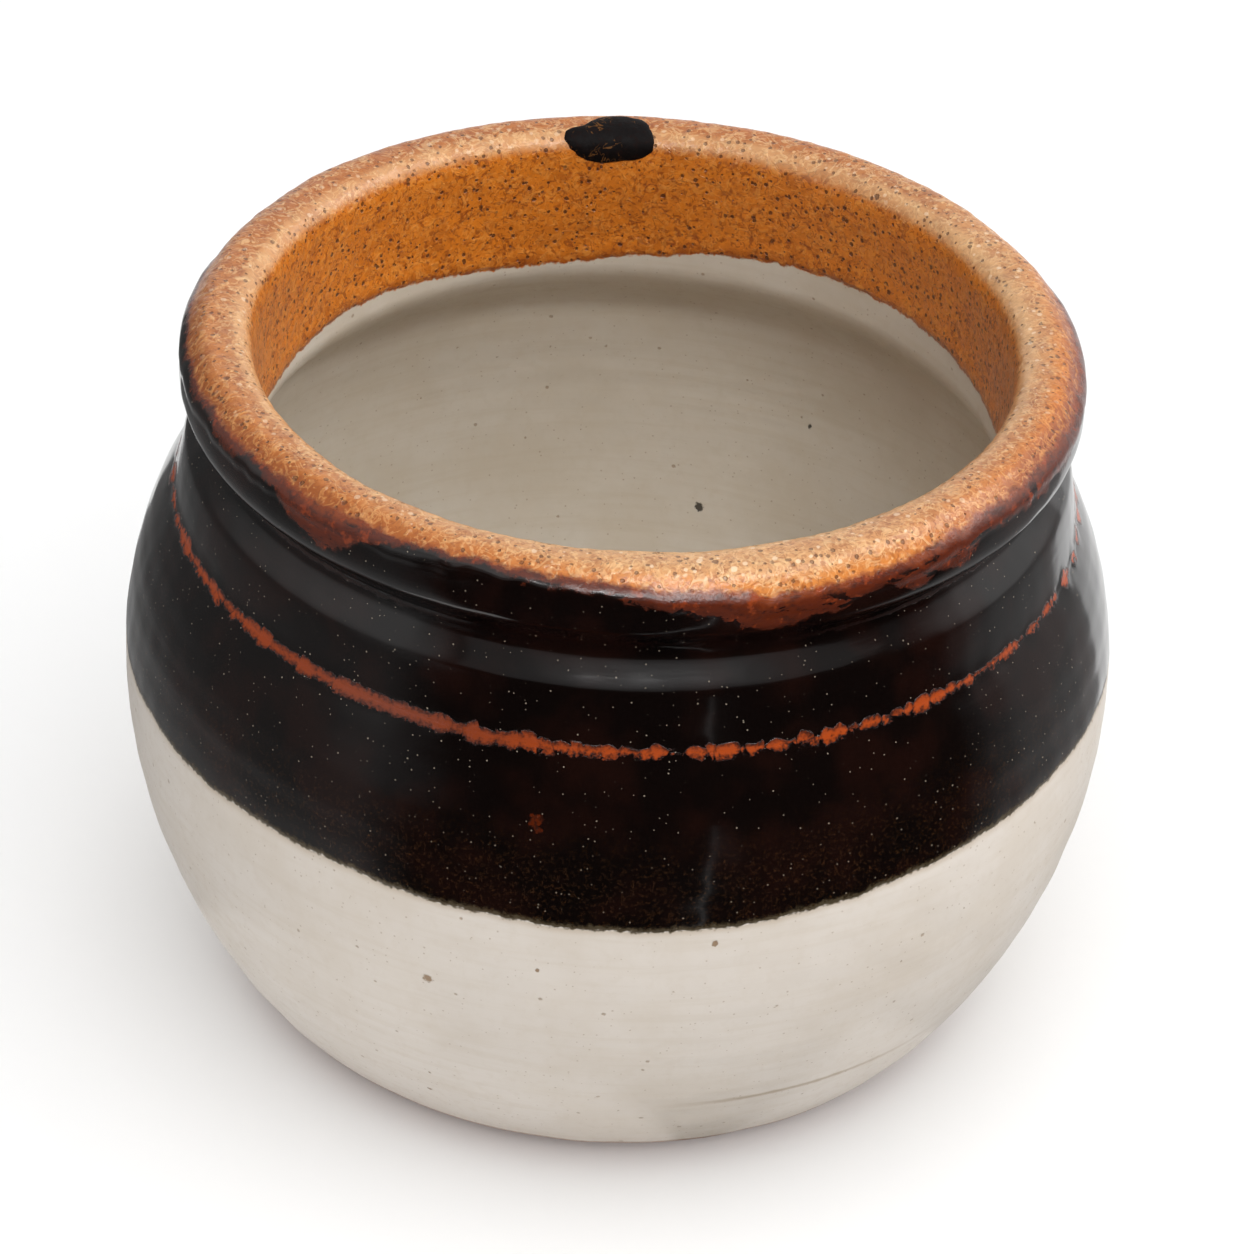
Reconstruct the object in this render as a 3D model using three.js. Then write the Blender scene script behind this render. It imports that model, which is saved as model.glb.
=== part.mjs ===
// A small stoneware cooking pot, thrown on a wheel, with a rolled rim and no lid.
// Millimetres, +Z up, origin at the centre of the foot on the surface that the pot stands on.
// The glazed wall is one profile that runs from the foot up the outside, over the rim and down to
// the middle of the floor inside. The clay lies one glaze thickness under it. Each coat of glaze
// covers the clay between two edge lines that wander round the pot, and neighbouring coats share
// their edge line, so clay and coats fit together without a gap.
import * as THREE from 'three';
import { mergeGeometries, mergeVertices } from 'three/addons/utils/BufferGeometryUtils.js';

// Foot: a bare ring that the pot stands on, round a shallow recess, under a turned bevel
const FOOT_RADIUS = 46;
const FOOT_RING_WIDTH = 9;
const FOOT_RECESS_DEPTH = 1.5;
const FOOT_RECESS_SLOPE = 1.5;
const BARE_FOOT_HEIGHT = 0.8;
const BARE_FOOT_FLARE = 1.4;
const BEVEL_HEIGHT = 2.3;
const BEVEL_FLARE = 3;

// Outside: insets counted from the belly, rises from the feature below, bend and cove from the ridge
const BELLY_RADIUS = 65;
const BELLY_HEIGHT = 47;
const RIDGE_INSET = 6.7;
const RIDGE_RISE = 25.5;
const BEND_INSET = 8.1;
const BEND_RISE = 7.2;
const NECK_INSET = 10.7;
const NECK_RISE = 11.8;
const COVE_HEIGHT = 2.6;

// Rolled rim, counted from the middle of the cove
const RIM_OVERHANG = 3.3;
const RIM_SIDE_RISE = 5.9;
const CROWN_RISE = 6.3;
const CROWN_INSET = 4.6;
const LIP_THICKNESS = 9.6;
const LIP_DROP = 5.8;

// Inside: the throat counted down from the crown, the shoulder from the belly
const THROAT_DEPTH = 20;
const INNER_SHOULDER_INSET = 8.4;
const INNER_SHOULDER_RISE = 16.8;
const BELLY_WALL = 5.8;
const FLOOR_THICKNESS = 7.5;
const FLOOR_FLAT_RADIUS = 26;

// Glaze: one thickness for every coat, and where the coats end along the wall
const GLAZE = 0.6;
const WATERLINE_ABOVE_BELLY = 4.6;
const BREAK_BELOW_CROWN = 4.9;
const LINER_ABOVE_THROAT = 1.6;

// Wander of each edge line: waves in one turn of the pot, their size and the angle of a crest
const WATERLINE_WANDER = [
  { waves: 1, size: 0.63, crest: 27 },
  { waves: 2, size: 0.66, crest: -28 },
  { waves: 3, size: 0.37, crest: -28 },
  { waves: 4, size: 0.53, crest: -30 },
  { waves: 5, size: 0.16, crest: 16 },
];
const BREAK_WANDER = [
  { waves: 2, size: 0.4, crest: 70 },
  { waves: 5, size: 0.5, crest: 10 },
];
const LINER_WANDER = [
  { waves: 1, size: 0.65, crest: 20 },
  { waves: 2, size: 0.76, crest: 49 },
  { waves: 3, size: 0.49, crest: 52 },
  { waves: 4, size: 0.53, crest: -41 },
  { waves: 5, size: 0.42, crest: -14 },
  { waves: 6, size: 0.42, crest: 24 },
];

// Daub of glaze on the inner edge of the rim at the back
const DAUB_ANGLE = 95.8;
const DAUB_INSIDE_CROWN = 3.6;
const DAUB_HALF_WIDTH = 4;
const DAUB_HALF_LENGTH = 6.4;
const DAUB_THICKNESS = 0.5;
const DAUB_SEAT = 0.25;
const DAUB_LOBES = [
  { waves: 1, size: 0.08, crest: -59 },
  { waves: 2, size: 0.06, crest: 46 },
  { waves: 3, size: 0.08, crest: -43 },
  { waves: 4, size: 0.04, crest: 18 },
  { waves: 5, size: 0.03, crest: 22 },
];

// Facets round the pot and round the daub, and how near points are joined
const SIDES = 48;
const DAUB_SIDES = 24;
const DAUB_RINGS = 10;
const WELD_TOLERANCE = 1e-4;

// Headings in the profile, in degrees: 0 points away from the axis and 90 points up
const UP = 90;
const INWARD = 180;
const DOWN = 270;
const BODY_HEADING = 52;
const BELOW_RIDGE_HEADING = 123;
const ABOVE_RIDGE_HEADING = 101;
const BEND_HEADING = 105;
const INTO_COVE_HEADING = 129;
const OUT_OF_COVE_HEADING = 45;
const INNER_SHOULDER_HEADING = 283;

// How far each curve keeps to its two headings, as shares of the straight way between its ends
const BODY_PULLS = [0.25, 0.4];
const SHOULDER_PULLS = [0.3, 0.34];
const NECK_PULLS = [0.33, 0.33];
const FLANK_PULLS = [0.18, 0.6];
const COVE_PULLS = [0.4, 0.4];
const UNDER_RIM_PULLS = [0.35, 0.4];
const RIM_PULLS = [0.48, 0.38];
const LIP_PULLS = [0.6, 0.5];
const UNDER_NECK_PULLS = [0.3, 0.35];
const INNER_SIDE_PULLS = [0.35, 0.4];
const BOWL_PULLS = [0.45, 0.45];

// Point at a radius and a height of the profile
function at(radius, height) {
  return new THREE.Vector2(radius, height);
}

function step(start, heading, distance) {
  const angle = THREE.MathUtils.degToRad(heading);
  return at(start.x + distance * Math.cos(angle), start.y + distance * Math.sin(angle));
}

// Curve that leaves one point at a heading and reaches the next at another
function sweep(from, leaving, to, arriving, [pullFrom, pullTo]) {
  const reach = from.distanceTo(to);
  const first = step(from, leaving, pullFrom * reach);
  const second = step(to, arriving, -pullTo * reach);
  return new THREE.CubicBezierCurve(from, first, second, to);
}

// Points where the wall's curves meet
const glazeLine = at(FOOT_RADIUS + BARE_FOOT_FLARE, BARE_FOOT_HEIGHT);
const bevelTop = at(glazeLine.x + BEVEL_FLARE, glazeLine.y + BEVEL_HEIGHT);
const belly = at(BELLY_RADIUS, BELLY_HEIGHT);
const ridge = at(belly.x - RIDGE_INSET, belly.y + RIDGE_RISE);
const bend = at(belly.x - BEND_INSET, ridge.y + BEND_RISE);
const cove = at(belly.x - NECK_INSET, ridge.y + NECK_RISE);
const coveBelow = at(cove.x, cove.y - COVE_HEIGHT / 2);
const coveAbove = at(cove.x, cove.y + COVE_HEIGHT / 2);
const rimSide = at(cove.x + RIM_OVERHANG, cove.y + RIM_SIDE_RISE);
const crown = at(rimSide.x - CROWN_INSET, rimSide.y + CROWN_RISE);
const lip = at(rimSide.x - LIP_THICKNESS, crown.y - LIP_DROP);
const throat = at(lip.x, crown.y - THROAT_DEPTH);
const innerShoulder = at(belly.x - INNER_SHOULDER_INSET, belly.y + INNER_SHOULDER_RISE);
const innerBelly = at(belly.x - BELLY_WALL, belly.y);
const floorEdge = at(FLOOR_FLAT_RADIUS, FLOOR_THICKNESS);
const floorMiddle = at(0, FLOOR_THICKNESS);

// Glazed wall from the foot to the middle of the floor
const wall = new THREE.CurvePath();
wall.add(new THREE.LineCurve(glazeLine, bevelTop));
wall.add(sweep(bevelTop, BODY_HEADING, belly, UP, BODY_PULLS));
wall.add(sweep(belly, UP, ridge, BELOW_RIDGE_HEADING, SHOULDER_PULLS));
wall.add(sweep(ridge, ABOVE_RIDGE_HEADING, bend, BEND_HEADING, NECK_PULLS));
wall.add(sweep(bend, BEND_HEADING, coveBelow, INTO_COVE_HEADING, FLANK_PULLS));
wall.add(sweep(coveBelow, INTO_COVE_HEADING, coveAbove, OUT_OF_COVE_HEADING, COVE_PULLS));
wall.add(sweep(coveAbove, OUT_OF_COVE_HEADING, rimSide, UP, UNDER_RIM_PULLS));
wall.add(sweep(rimSide, UP, crown, INWARD, RIM_PULLS));
wall.add(sweep(crown, INWARD, lip, DOWN, LIP_PULLS));
wall.add(new THREE.LineCurve(lip, throat));
wall.add(sweep(throat, DOWN, innerShoulder, INNER_SHOULDER_HEADING, UNDER_NECK_PULLS));
wall.add(sweep(innerShoulder, INNER_SHOULDER_HEADING, innerBelly, DOWN, INNER_SIDE_PULLS));
wall.add(sweep(innerBelly, DOWN, floorEdge, INWARD, BOWL_PULLS));
wall.add(new THREE.LineCurve(floorEdge, floorMiddle));

// Distances along the wall of those meeting points
const starts = [0, ...wall.getCurveLengths()];
const [
  GLAZE_LINE_AT, BEVEL_TOP_AT, BELLY_AT, RIDGE_AT, BEND_AT, COVE_BELOW_AT, COVE_ABOVE_AT, RIM_SIDE_AT,
  CROWN_AT, LIP_AT, THROAT_AT, INNER_SHOULDER_AT, INNER_BELLY_AT, FLOOR_EDGE_AT, FLOOR_MIDDLE_AT,
] = starts;

// Radius and height of the point at a distance along the wall, lifted off it by an amount
function onWall(distance, lift) {
  const lastCurve = wall.curves.length - 1;
  const index = Math.min(starts.findLastIndex((start) => start <= distance), lastCurve);
  const curve = wall.curves[index];
  const share = (distance - starts[index]) / (starts[index + 1] - starts[index]);
  const point = curve.getPointAt(share);
  const heading = curve.getTangentAt(share);
  return at(point.x + lift * heading.y, point.y - lift * heading.x);
}

// Sum of an edge line's waves at an angle round the pot, in degrees
function wander(terms, angle) {
  const turn = ({ waves, crest }) => THREE.MathUtils.degToRad(waves * (angle - crest));
  return terms.reduce((sum, term) => sum + term.size * Math.cos(turn(term)), 0);
}

// Lines round the pot: each gives a distance along the wall at an angle
const level = (distance) => () => distance;
const glazeEdge = level(GLAZE_LINE_AT);
const waterline = (angle) => BELLY_AT + WATERLINE_ABOVE_BELLY + wander(WATERLINE_WANDER, angle);
const breakLine = (angle) => CROWN_AT - BREAK_BELOW_CROWN - wander(BREAK_WANDER, angle);
const linerLine = (angle) => THROAT_AT - LINER_ABOVE_THROAT - wander(LINER_WANDER, angle);

// Lines that split the stretch between each pair of neighbouring lines into equal steps
function ruled(...stretches) {
  const lines = [stretches[0].from];
  for (const { from, to, steps } of stretches) {
    for (let count = 1; count <= steps; count += 1) {
      const share = count / steps;
      lines.push((angle) => THREE.MathUtils.lerp(from(angle), to(angle), share));
    }
  }
  return lines;
}

// Surface turned round the axis from rows that give radius and height at an angle
function turned(rows) {
  const geometry = new THREE.LatheGeometry(rows.map((row) => row(0)), SIDES);
  const position = geometry.attributes.position;
  for (let side = 0; side <= SIDES; side += 1) {
    const angle = (side % SIDES) * 360 / SIDES;
    const radians = THREE.MathUtils.degToRad(angle);
    rows.forEach((row, index) => {
      const { x: radius, y: height } = row(angle);
      const vertex = side * rows.length + index;
      position.setXYZ(vertex, radius * Math.cos(radians), radius * Math.sin(radians), height);
    });
  }
  return geometry;
}

function turnedOver(geometry) {
  geometry.setIndex(Array.from(geometry.index.array).reverse());
  return geometry;
}

// One closed body from surfaces that meet along their edges
function welded(surfaces) {
  for (const surface of surfaces) {
    surface.deleteAttribute('normal');
    surface.deleteAttribute('uv');
  }
  const body = mergeVertices(mergeGeometries(surfaces), WELD_TOLERANCE);
  body.computeVertexNormals();
  return body;
}

const lifted = (lines, lift) => lines.map((line) => (angle) => onWall(line(angle), lift));

// Coat over the lines that it covers: its glossy face, its face on the clay and its end walls.
// A coat that ends on the axis closes there by itself.
function coat(lines, endsOnAxis = false) {
  const face = lifted(lines, 0);
  const back = lifted(lines, -GLAZE);
  const surfaces = [turned(face), turnedOver(turned(back)), turned([back[0], face[0]])];
  if (!endsOnAxis) surfaces.push(turnedOver(turned([back.at(-1), face.at(-1)])));
  return welded(surfaces);
}

const lowerLines = ruled(
  { from: glazeEdge, to: level(BEVEL_TOP_AT), steps: 1 },
  { from: level(BEVEL_TOP_AT), to: waterline, steps: 7 },
);
const darkLines = ruled(
  { from: waterline, to: level(RIDGE_AT), steps: 4 },
  { from: level(RIDGE_AT), to: level(BEND_AT), steps: 2 },
  { from: level(BEND_AT), to: level(COVE_BELOW_AT), steps: 3 },
  { from: level(COVE_BELOW_AT), to: level(COVE_ABOVE_AT), steps: 2 },
  { from: level(COVE_ABOVE_AT), to: level(RIM_SIDE_AT), steps: 4 },
  { from: level(RIM_SIDE_AT), to: breakLine, steps: 1 },
);
const rimLines = ruled(
  { from: breakLine, to: level(CROWN_AT), steps: 2 },
  { from: level(CROWN_AT), to: level(LIP_AT), steps: 4 },
  { from: level(LIP_AT), to: linerLine, steps: 2 },
);
const linerLines = ruled(
  { from: linerLine, to: level(INNER_SHOULDER_AT), steps: 6 },
  { from: level(INNER_SHOULDER_AT), to: level(INNER_BELLY_AT), steps: 3 },
  { from: level(INNER_BELLY_AT), to: level(FLOOR_EDGE_AT), steps: 6 },
  { from: level(FLOOR_EDGE_AT), to: level(FLOOR_MIDDLE_AT), steps: 1 },
);

// Thrown clay: the underside of the foot, then the face under all four coats
function clayBody() {
  const ringInside = FOOT_RADIUS - FOOT_RING_WIDTH;
  const underside = [
    at(0, FOOT_RECESS_DEPTH),
    at(ringInside - FOOT_RECESS_SLOPE, FOOT_RECESS_DEPTH),
    at(ringInside, 0),
    at(FOOT_RADIUS, 0),
  ];
  const coated = [...lowerLines, ...darkLines.slice(1), ...rimLines.slice(1), ...linerLines.slice(1)];
  const rows = [...underside.map((point) => () => point), ...lifted(coated, -GLAZE)];
  return welded([turned(rows)]);
}

// Drop of glaze: a ball pressed flat on the rim, with a lobed outline
function rimDaub() {
  const geometry = new THREE.SphereGeometry(1, DAUB_SIDES, DAUB_RINGS);
  const position = geometry.attributes.position;
  for (let vertex = 0; vertex < position.count; vertex += 1) {
    const across = position.getX(vertex);
    const along = position.getZ(vertex);
    const outline = 1 + wander(DAUB_LOBES, THREE.MathUtils.radToDeg(Math.atan2(along, across)));
    const distance = CROWN_AT + DAUB_INSIDE_CROWN + across * outline * DAUB_HALF_WIDTH;
    const lift = DAUB_SEAT + DAUB_THICKNESS * Math.max(position.getY(vertex), 0);
    const { x: radius, y: height } = onWall(distance, lift);
    const angle = THREE.MathUtils.degToRad(DAUB_ANGLE) + along * outline * DAUB_HALF_LENGTH / crown.x;
    position.setXYZ(vertex, radius * Math.cos(angle), radius * Math.sin(angle), height);
  }
  return welded([geometry]);
}

function finish(color, roughness) {
  return new THREE.MeshStandardMaterial({ color, roughness, metalness: 0 });
}

const pieces = [
  ['clay_body', clayBody(), finish('#9a7a5f', 0.85)],
  ['liner_glaze', coat(linerLines, true), finish('#bdb4a6', 0.4)],
  ['rim_glaze', coat(rimLines), finish('#c58a4d', 0.35)],
  ['dark_glaze', coat(darkLines), finish('#1d120e', 0.15)],
  ['lower_glaze', coat(lowerLines), finish('#cfc6ba', 0.35)],
  ['rim_daub', rimDaub(), finish('#17110f', 0.4)],
];

const pot = new THREE.Group();
for (const [name, geometry, material] of pieces) {
  const mesh = new THREE.Mesh(geometry, material);
  mesh.name = name;
  pot.add(mesh);
}

export default pot;
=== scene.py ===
import math

import bpy
import numpy as np
from mathutils import Matrix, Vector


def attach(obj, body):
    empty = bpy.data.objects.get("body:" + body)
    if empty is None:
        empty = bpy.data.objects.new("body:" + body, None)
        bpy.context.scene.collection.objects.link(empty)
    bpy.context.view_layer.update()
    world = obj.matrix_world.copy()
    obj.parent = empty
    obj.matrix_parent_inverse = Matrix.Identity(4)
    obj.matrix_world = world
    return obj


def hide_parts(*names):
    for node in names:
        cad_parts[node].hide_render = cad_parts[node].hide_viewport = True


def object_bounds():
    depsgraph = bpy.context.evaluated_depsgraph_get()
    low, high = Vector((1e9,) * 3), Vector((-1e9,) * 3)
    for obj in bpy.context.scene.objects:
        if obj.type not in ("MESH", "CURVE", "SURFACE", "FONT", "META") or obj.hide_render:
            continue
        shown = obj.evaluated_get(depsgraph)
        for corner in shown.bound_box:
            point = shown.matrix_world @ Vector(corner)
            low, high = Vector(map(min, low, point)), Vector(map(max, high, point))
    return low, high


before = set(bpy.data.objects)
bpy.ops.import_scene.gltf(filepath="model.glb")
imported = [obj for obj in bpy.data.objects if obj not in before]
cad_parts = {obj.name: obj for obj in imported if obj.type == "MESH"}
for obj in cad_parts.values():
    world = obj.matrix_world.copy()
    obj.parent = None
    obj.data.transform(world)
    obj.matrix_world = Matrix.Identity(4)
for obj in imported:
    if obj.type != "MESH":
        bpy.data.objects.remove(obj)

# Glazed surfaces, finishes and studio for a small stoneware cooking pot.
# The wall is one profile, from the foot up the outside, over the rim and down to the middle of the
# floor inside. Each coat of glaze is a closed skin on a stretch of that wall between two edge lines.
# Places are worked out as whole grids: one column for each angle round the pot, one row for each
# distance along the wall. Metres in the meshes, millimetres in the finishes.

bl_info = {
    "name": "Stoneware cooking pot",
    "version": (1, 0, 0),
    "blender": (4, 5, 0),
    "location": "3D View > Sidebar > Pot",
    "description": "Builds the clay, the coats of glaze and the studio of a small stoneware pot",
    "category": "Object",
}

CAD_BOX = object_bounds()
BODY = "root"
MM = 0.001

# Grid and sampling counts
COLUMNS = 640
CURVE_STEPS = 240
BACK_ROWS = 24
DAUB_COLUMNS = 96
DAUB_ROWS = 30

# Edges sharper than this are not smoothed
SHARP_ANGLE = math.radians(45)

# Headings in the profile, in degrees: 0 points away from the axis and 90 points up
UP = 90
INWARD = 180
DOWN = 270
BODY_HEADING = 52
BELOW_RIDGE_HEADING = 123
ABOVE_RIDGE_HEADING = 101
NECK_BEND_HEADING = 105
INTO_COVE_HEADING = 129
OUT_OF_COVE_HEADING = 45
INNER_SHOULDER_HEADING = 283

# How far each curve keeps to its headings, as shares of the straight way between its ends
BODY_PULLS = (0.25, 0.4)
SHOULDER_PULLS = (0.3, 0.34)
NECK_PULLS = (0.33, 0.33)
FLANK_PULLS = (0.18, 0.6)
COVE_PULLS = (0.4, 0.4)
UNDER_RIM_PULLS = (0.35, 0.4)
RIM_PULLS = (0.48, 0.38)
LIP_PULLS = (0.6, 0.5)
UNDER_NECK_PULLS = (0.3, 0.35)
INNER_SIDE_PULLS = (0.35, 0.4)
BOWL_PULLS = (0.45, 0.45)

# Wander of each edge line: waves in one turn of the pot, size in millimetres, angle of a crest
WATERLINE_WANDER = ((1, 0.63, 27), (2, 0.66, -28), (3, 0.37, -28), (4, 0.53, -30), (5, 0.16, 16))
BREAK_WANDER = ((2, 0.4, 70), (5, 0.5, 10))
LINER_WANDER = ((1, 0.65, 20), (2, 0.76, 49), (3, 0.49, 52), (4, 0.53, -41), (5, 0.42, -14),
                (6, 0.42, 24))
DAUB_LOBES = ((1, 0.08, -59), (2, 0.06, 46), (3, 0.08, -43), (4, 0.04, 18), (5, 0.03, 22))

# Fine waves round the pot: size in millimetres or as a share, seed, fewest and most waves in one turn,
# power by which they fall. Those of the thrown wall take their size from a property.
ROUND_WAVES = (11, 2, 4, 1)
WATER_SCALLOPS = (0.12, 21, 9, 120, 0.7)
BREAK_CRAWL = (0.18, 22, 14, 120, 0.8)
LINER_DRIPS = (0.12, 23, 20, 160, 0.6)
FOOT_CRAWL = (1, 24, 8, 80, 0.8)
FOOT_CRAWL_SIZE = 0.12
RUST_WAVES = (0.15, 31, 9, 60, 0.6)
BEAD_WAVES = (0.1, 42, 3, 14, 0.5)
DASH_WAVES = (1, 43, 40, 80, 0.2)
ROLL_WAVES = (0.25, 72, 12, 90, 0.5)
DAUB_WAVES = (0.012, 91, 6, 24, 0.8)

# Soft dimples of the coats: height in metres, seed, count, most waves in one turn, shortest length in
# metres. Those of the iron coat take their height from a property.
LINER_DIMPLES = (0.02 * MM, 52, 40, 60, 5 * MM)
AMBER_LUMPS = (0.025 * MM, 61, 60, 150, 2.2 * MM)
AMBER_SWELLS = (0.05 * MM, 62, 20, 24, 9 * MM)
IRON_PEEL = (71, 50, 70, 5 * MM)
PALE_DIMPLES = (0.03 * MM, 81, 40, 40, 8 * MM)

# Finger rings of the throwing: distance over which they fade out, and how much deeper they are inside
RINGS_FADE = 6 * MM
INNER_RINGS = 1.5

# Underside of the foot, in metres: slope of the recess, rounded edge of the ring, turned grooves
RECESS_SLOPE = 1.5 * MM
RING_INNER_ROUND = 0.4 * MM
RING_ROUND = 0.6 * MM
RING_ROUND_RISE = 0.15 * MM
RING_EDGE = np.array([-0.25, -0.05, 0.10]) * MM
GROOVE_HEIGHT = 0.05 * MM
GROOVE_PITCH = 1.6 * MM
GROOVE_START = 3 * MM
GROOVE_STOP = 2 * MM

# Bands along the edges of the coats that have finer rows, in metres
LINER_BAND = 2 * MM
AMBER_BAND = 1.5 * MM
IRON_BAND = 1.6 * MM
BEVEL_BAND = (-0.4 * MM, 0.6 * MM)
PALE_BAND = 1.5 * MM

# Heights in the coats, in metres: roll of the amber inside, step at the trimmed line, rounded lower edge,
# lumps of the daub and how deep it sits in the rim
AMBER_ROLL = 0.16 * MM
TRIM_STEP = 0.14 * MM
FOOT_ROUNDING = 0.3 * MM
FOOT_ROUNDING_REACH = 0.25 * MM
DAUB_LUMP = 0.03 * MM
DAUB_SEAT = 0.3 * MM

# Rust under the amber of the rim: angle of each patch, half its spread in degrees, reach in millimetres
RUST_PATCHES = (
    (-150, 10, 0.8),
    (-130, 13, 4.6),
    (-88, 22, 1.2),
    (-72, 18, 3.0),
    (-52, 24, 2.6),
    (-22, 34, 2.6),
    (14, 34, 2.4),
    (60, 20, 2.2),
    (122, 22, 2.6),
    (168, 14, 1.2),
)
RUST_EVERYWHERE = 0.9

# Where the amber stops short of its coat's edge: angle, half the spread in degrees, millimetres
AMBER_SHORT = ((-132, 44, 2.6), (-96, 36, 1.6), (-40, 30, 0.8), (10, 30, 1.5), (100, 25, 1.0))

# Changes in the width of the rust bead, and how far it breaks into dashes: angle, half the spread in
# degrees, millimetres
BEAD_HALF_WIDTH = 0.92
BEAD_SWELLS = ((-150, 50, 0.2), (-80, 45, 0.16), (-10, 45, -0.05))
BEAD_DASHES = ((-5, 62, 0.4), (-92, 45, 0.15), (180, 60, 0.2))

# Shares round the pot that the finishes read: where the bead has dark joints, where the crease of the cove
# has painted shade, where the rim top has painted light, where its outer half is burnt, and where the line
# trimmed above the foot shows. Angle, half the spread in degrees, share.
ARCS = {
    "bead_joint": ((-70, 50, 0.8), (0, 60, 0.9), (180, 90, 0.5)),
    "crease_arc": ((-146, 46, 1.0), (-40, 40, 1.0), (140, 40, 0.6)),
    "pale_rim": ((-82, 75, 1.0), (15, 60, 0.8), (-165, 50, 0.3)),
    "burnt_rim": ((-165, 50, 0.6), (-125, 40, 0.6), (-10, 55, 1.0), (95, 60, 0.5)),
    "trim_arc": ((-60, 26, 1),),
}

# Height of that trimmed line above the bevel, in millimetres
TRIM_RISE = 15.2

# Thick edge of the amber, in millimetres: a shallow dip above its edge, then a roll
ROLL_START = -3.5
ROLL_FOOT = -0.5
ROLL_CREST = 1.9
ROLL_END = 3.4
ROLL_DIP = 0.25
ROLL_RISE = 0.57

# Single marks in the coats: place and size in millimetres
RUST_SPOTS = (((-8.6, -61.3, 63.9), 0.95), ((-8.3, -61.6, 62.8), 0.6))
RUST_GLOWS = (((18.1, -54.9, 88.6), 0.5), ((16.6, -55.6, 89.2), 0.35))
NECK_PITS = (((17.9, 44.5, 83.1), 0.5), ((17.2, 44.8, 81.1), 0.3), ((15.8, 45.3, 80.1), 0.35))
LINER_DOTS = (((10.6, 56.4, 31.3), 0.75), ((25.4, 53.3, 47.9), 0.55))
PALE_PITS = (((-21.1, -60.8, 37.8), 0.7), ((13.8, -63.5, 48.1), 0.5), ((-7.6, -64.4, 43.0), 0.4),
             ((-20.8, -54.7, 17.2), 0.4), ((-20.9, -52.0, 12.2), 0.4))

# Specks, strokes and curls of the finishes, and ragged edges, as values of the shared node groups
SMALL_PITS = {"Spacing": 1.0, "Size": 0.3, "Share": 0.7}
WIDE_PITS = {"Spacing": 2.8, "Size": 0.4, "Share": 0.5, "Shift": (9, 4, 2)}
# Painted glints: tiny pale dots in the amber that stand in for highlights on bubbles
PAINTED_GLINTS = {"Spacing": 1.5, "Size": 0.24, "Share": 0.5, "Shift": (6, 1, 7)}
FLECKS = {"Spacing": 1.3, "Size": 0.38, "Share": 0.6, "Shift": (2, 19, 5)}
IRON_SPECKS = {"Spacing": 0.7, "Size": 0.1, "Share": 0.4, "Shift": (3, 5, 8)}
FINE_SPECKS = {"Spacing": 0.8, "Size": 0.14, "Share": 0.4}
LARGE_SPECKS = {"Spacing": 2.6, "Size": 0.3, "Share": 0.35, "Shift": (2, 9, 4)}
CLAY_SPECKS = {"Spacing": 1.4, "Size": 0.25, "Share": 0.35}
PALE_STROKES = {"Rate": 0.55, "Limit": 0.52}
BROWN_STROKES = {"Rate": 0.62, "Limit": 0.55, "Shift": (31, 7, 13)}
DARK_STROKES = {"Rate": 0.9, "Limit": 0.58, "Soft": 0.05, "Shift": (14, 27, 3)}
AMBER_LOOPS = {"Rate": 0.36, "Width": 0.045, "Cover": 0.6, "Shift": (5, 23, 41)}
IRON_FIBRES = {"Rate": 1.9, "Width": 0.016, "Cover": 0.48, "Shift": (5, 41, 3)}
DAUB_SCRATCHES = {"Rate": 0.4, "Width": 0.02, "Cover": 0.45}
AMBER_EDGE = {"Ragged": 0.5, "Soft": 0.5, "Rate": 0.9}
RUST_EDGE = {"Ragged": 0.9, "Soft": 0.35, "Rate": 0.6}
SEAM_EDGE = {"Ragged": 0.34, "Soft": 0.2, "Rate": 1.4}
FRINGE_EDGE = {"Ragged": 0.4, "Soft": 0.5, "Rate": 1.4}
FOOT_EDGE = {"Ragged": 0.1, "Soft": 0.2, "Rate": 0.6}

# Fringes of the seams and the bare edge above the bevel, in millimetres
OLIVE_FRINGE = 0.6
BURNT_FRINGE = 0.35
BARE_EDGE = 0.6

# Blocks of the rust bead: cells in a millimetre, and the shift of their pattern
BEAD_CELLS = 0.38
BEAD_SHIFT = (17, 3, 9)

# How strongly light bends in the coats
GLOSSY_IOR = 1.52
SATIN_IOR = 1.45
DAUB_IOR = 1.17

# Softboxes: name, property with its watts, place and sides in metres
LAMPS = (
    ("key_softbox", "key", (1.20, 0.22, 1.00), (1.0, 1.0)),
    ("top_softbox", "top", (0.12, -0.50, 0.73), (0.52, 0.17)),
    ("fill_softbox", "fill", (-0.85, -0.75, 0.10), (0.30, 0.30)),
    ("floor_softbox", "floor_light", (0.22, -0.34, 1.20), (3.2, 3.2)),
)

# Width of the camera's sensor in millimetres, and the white of the studio
SENSOR = 36
WHITE = (1, 1, 1, 1)

# Floor: its grey, half its side in metres, and its lift towards white far from the pot, with where that
# lift begins to rise and where it ends, in millimetres from the pot
FLOOR_GREY = 0.88
FLOOR_REACH = 3.0
FLOOR_NEAR = 400
FLOOR_FAR = 1000
FAR_LIFT = 0.4

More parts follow.
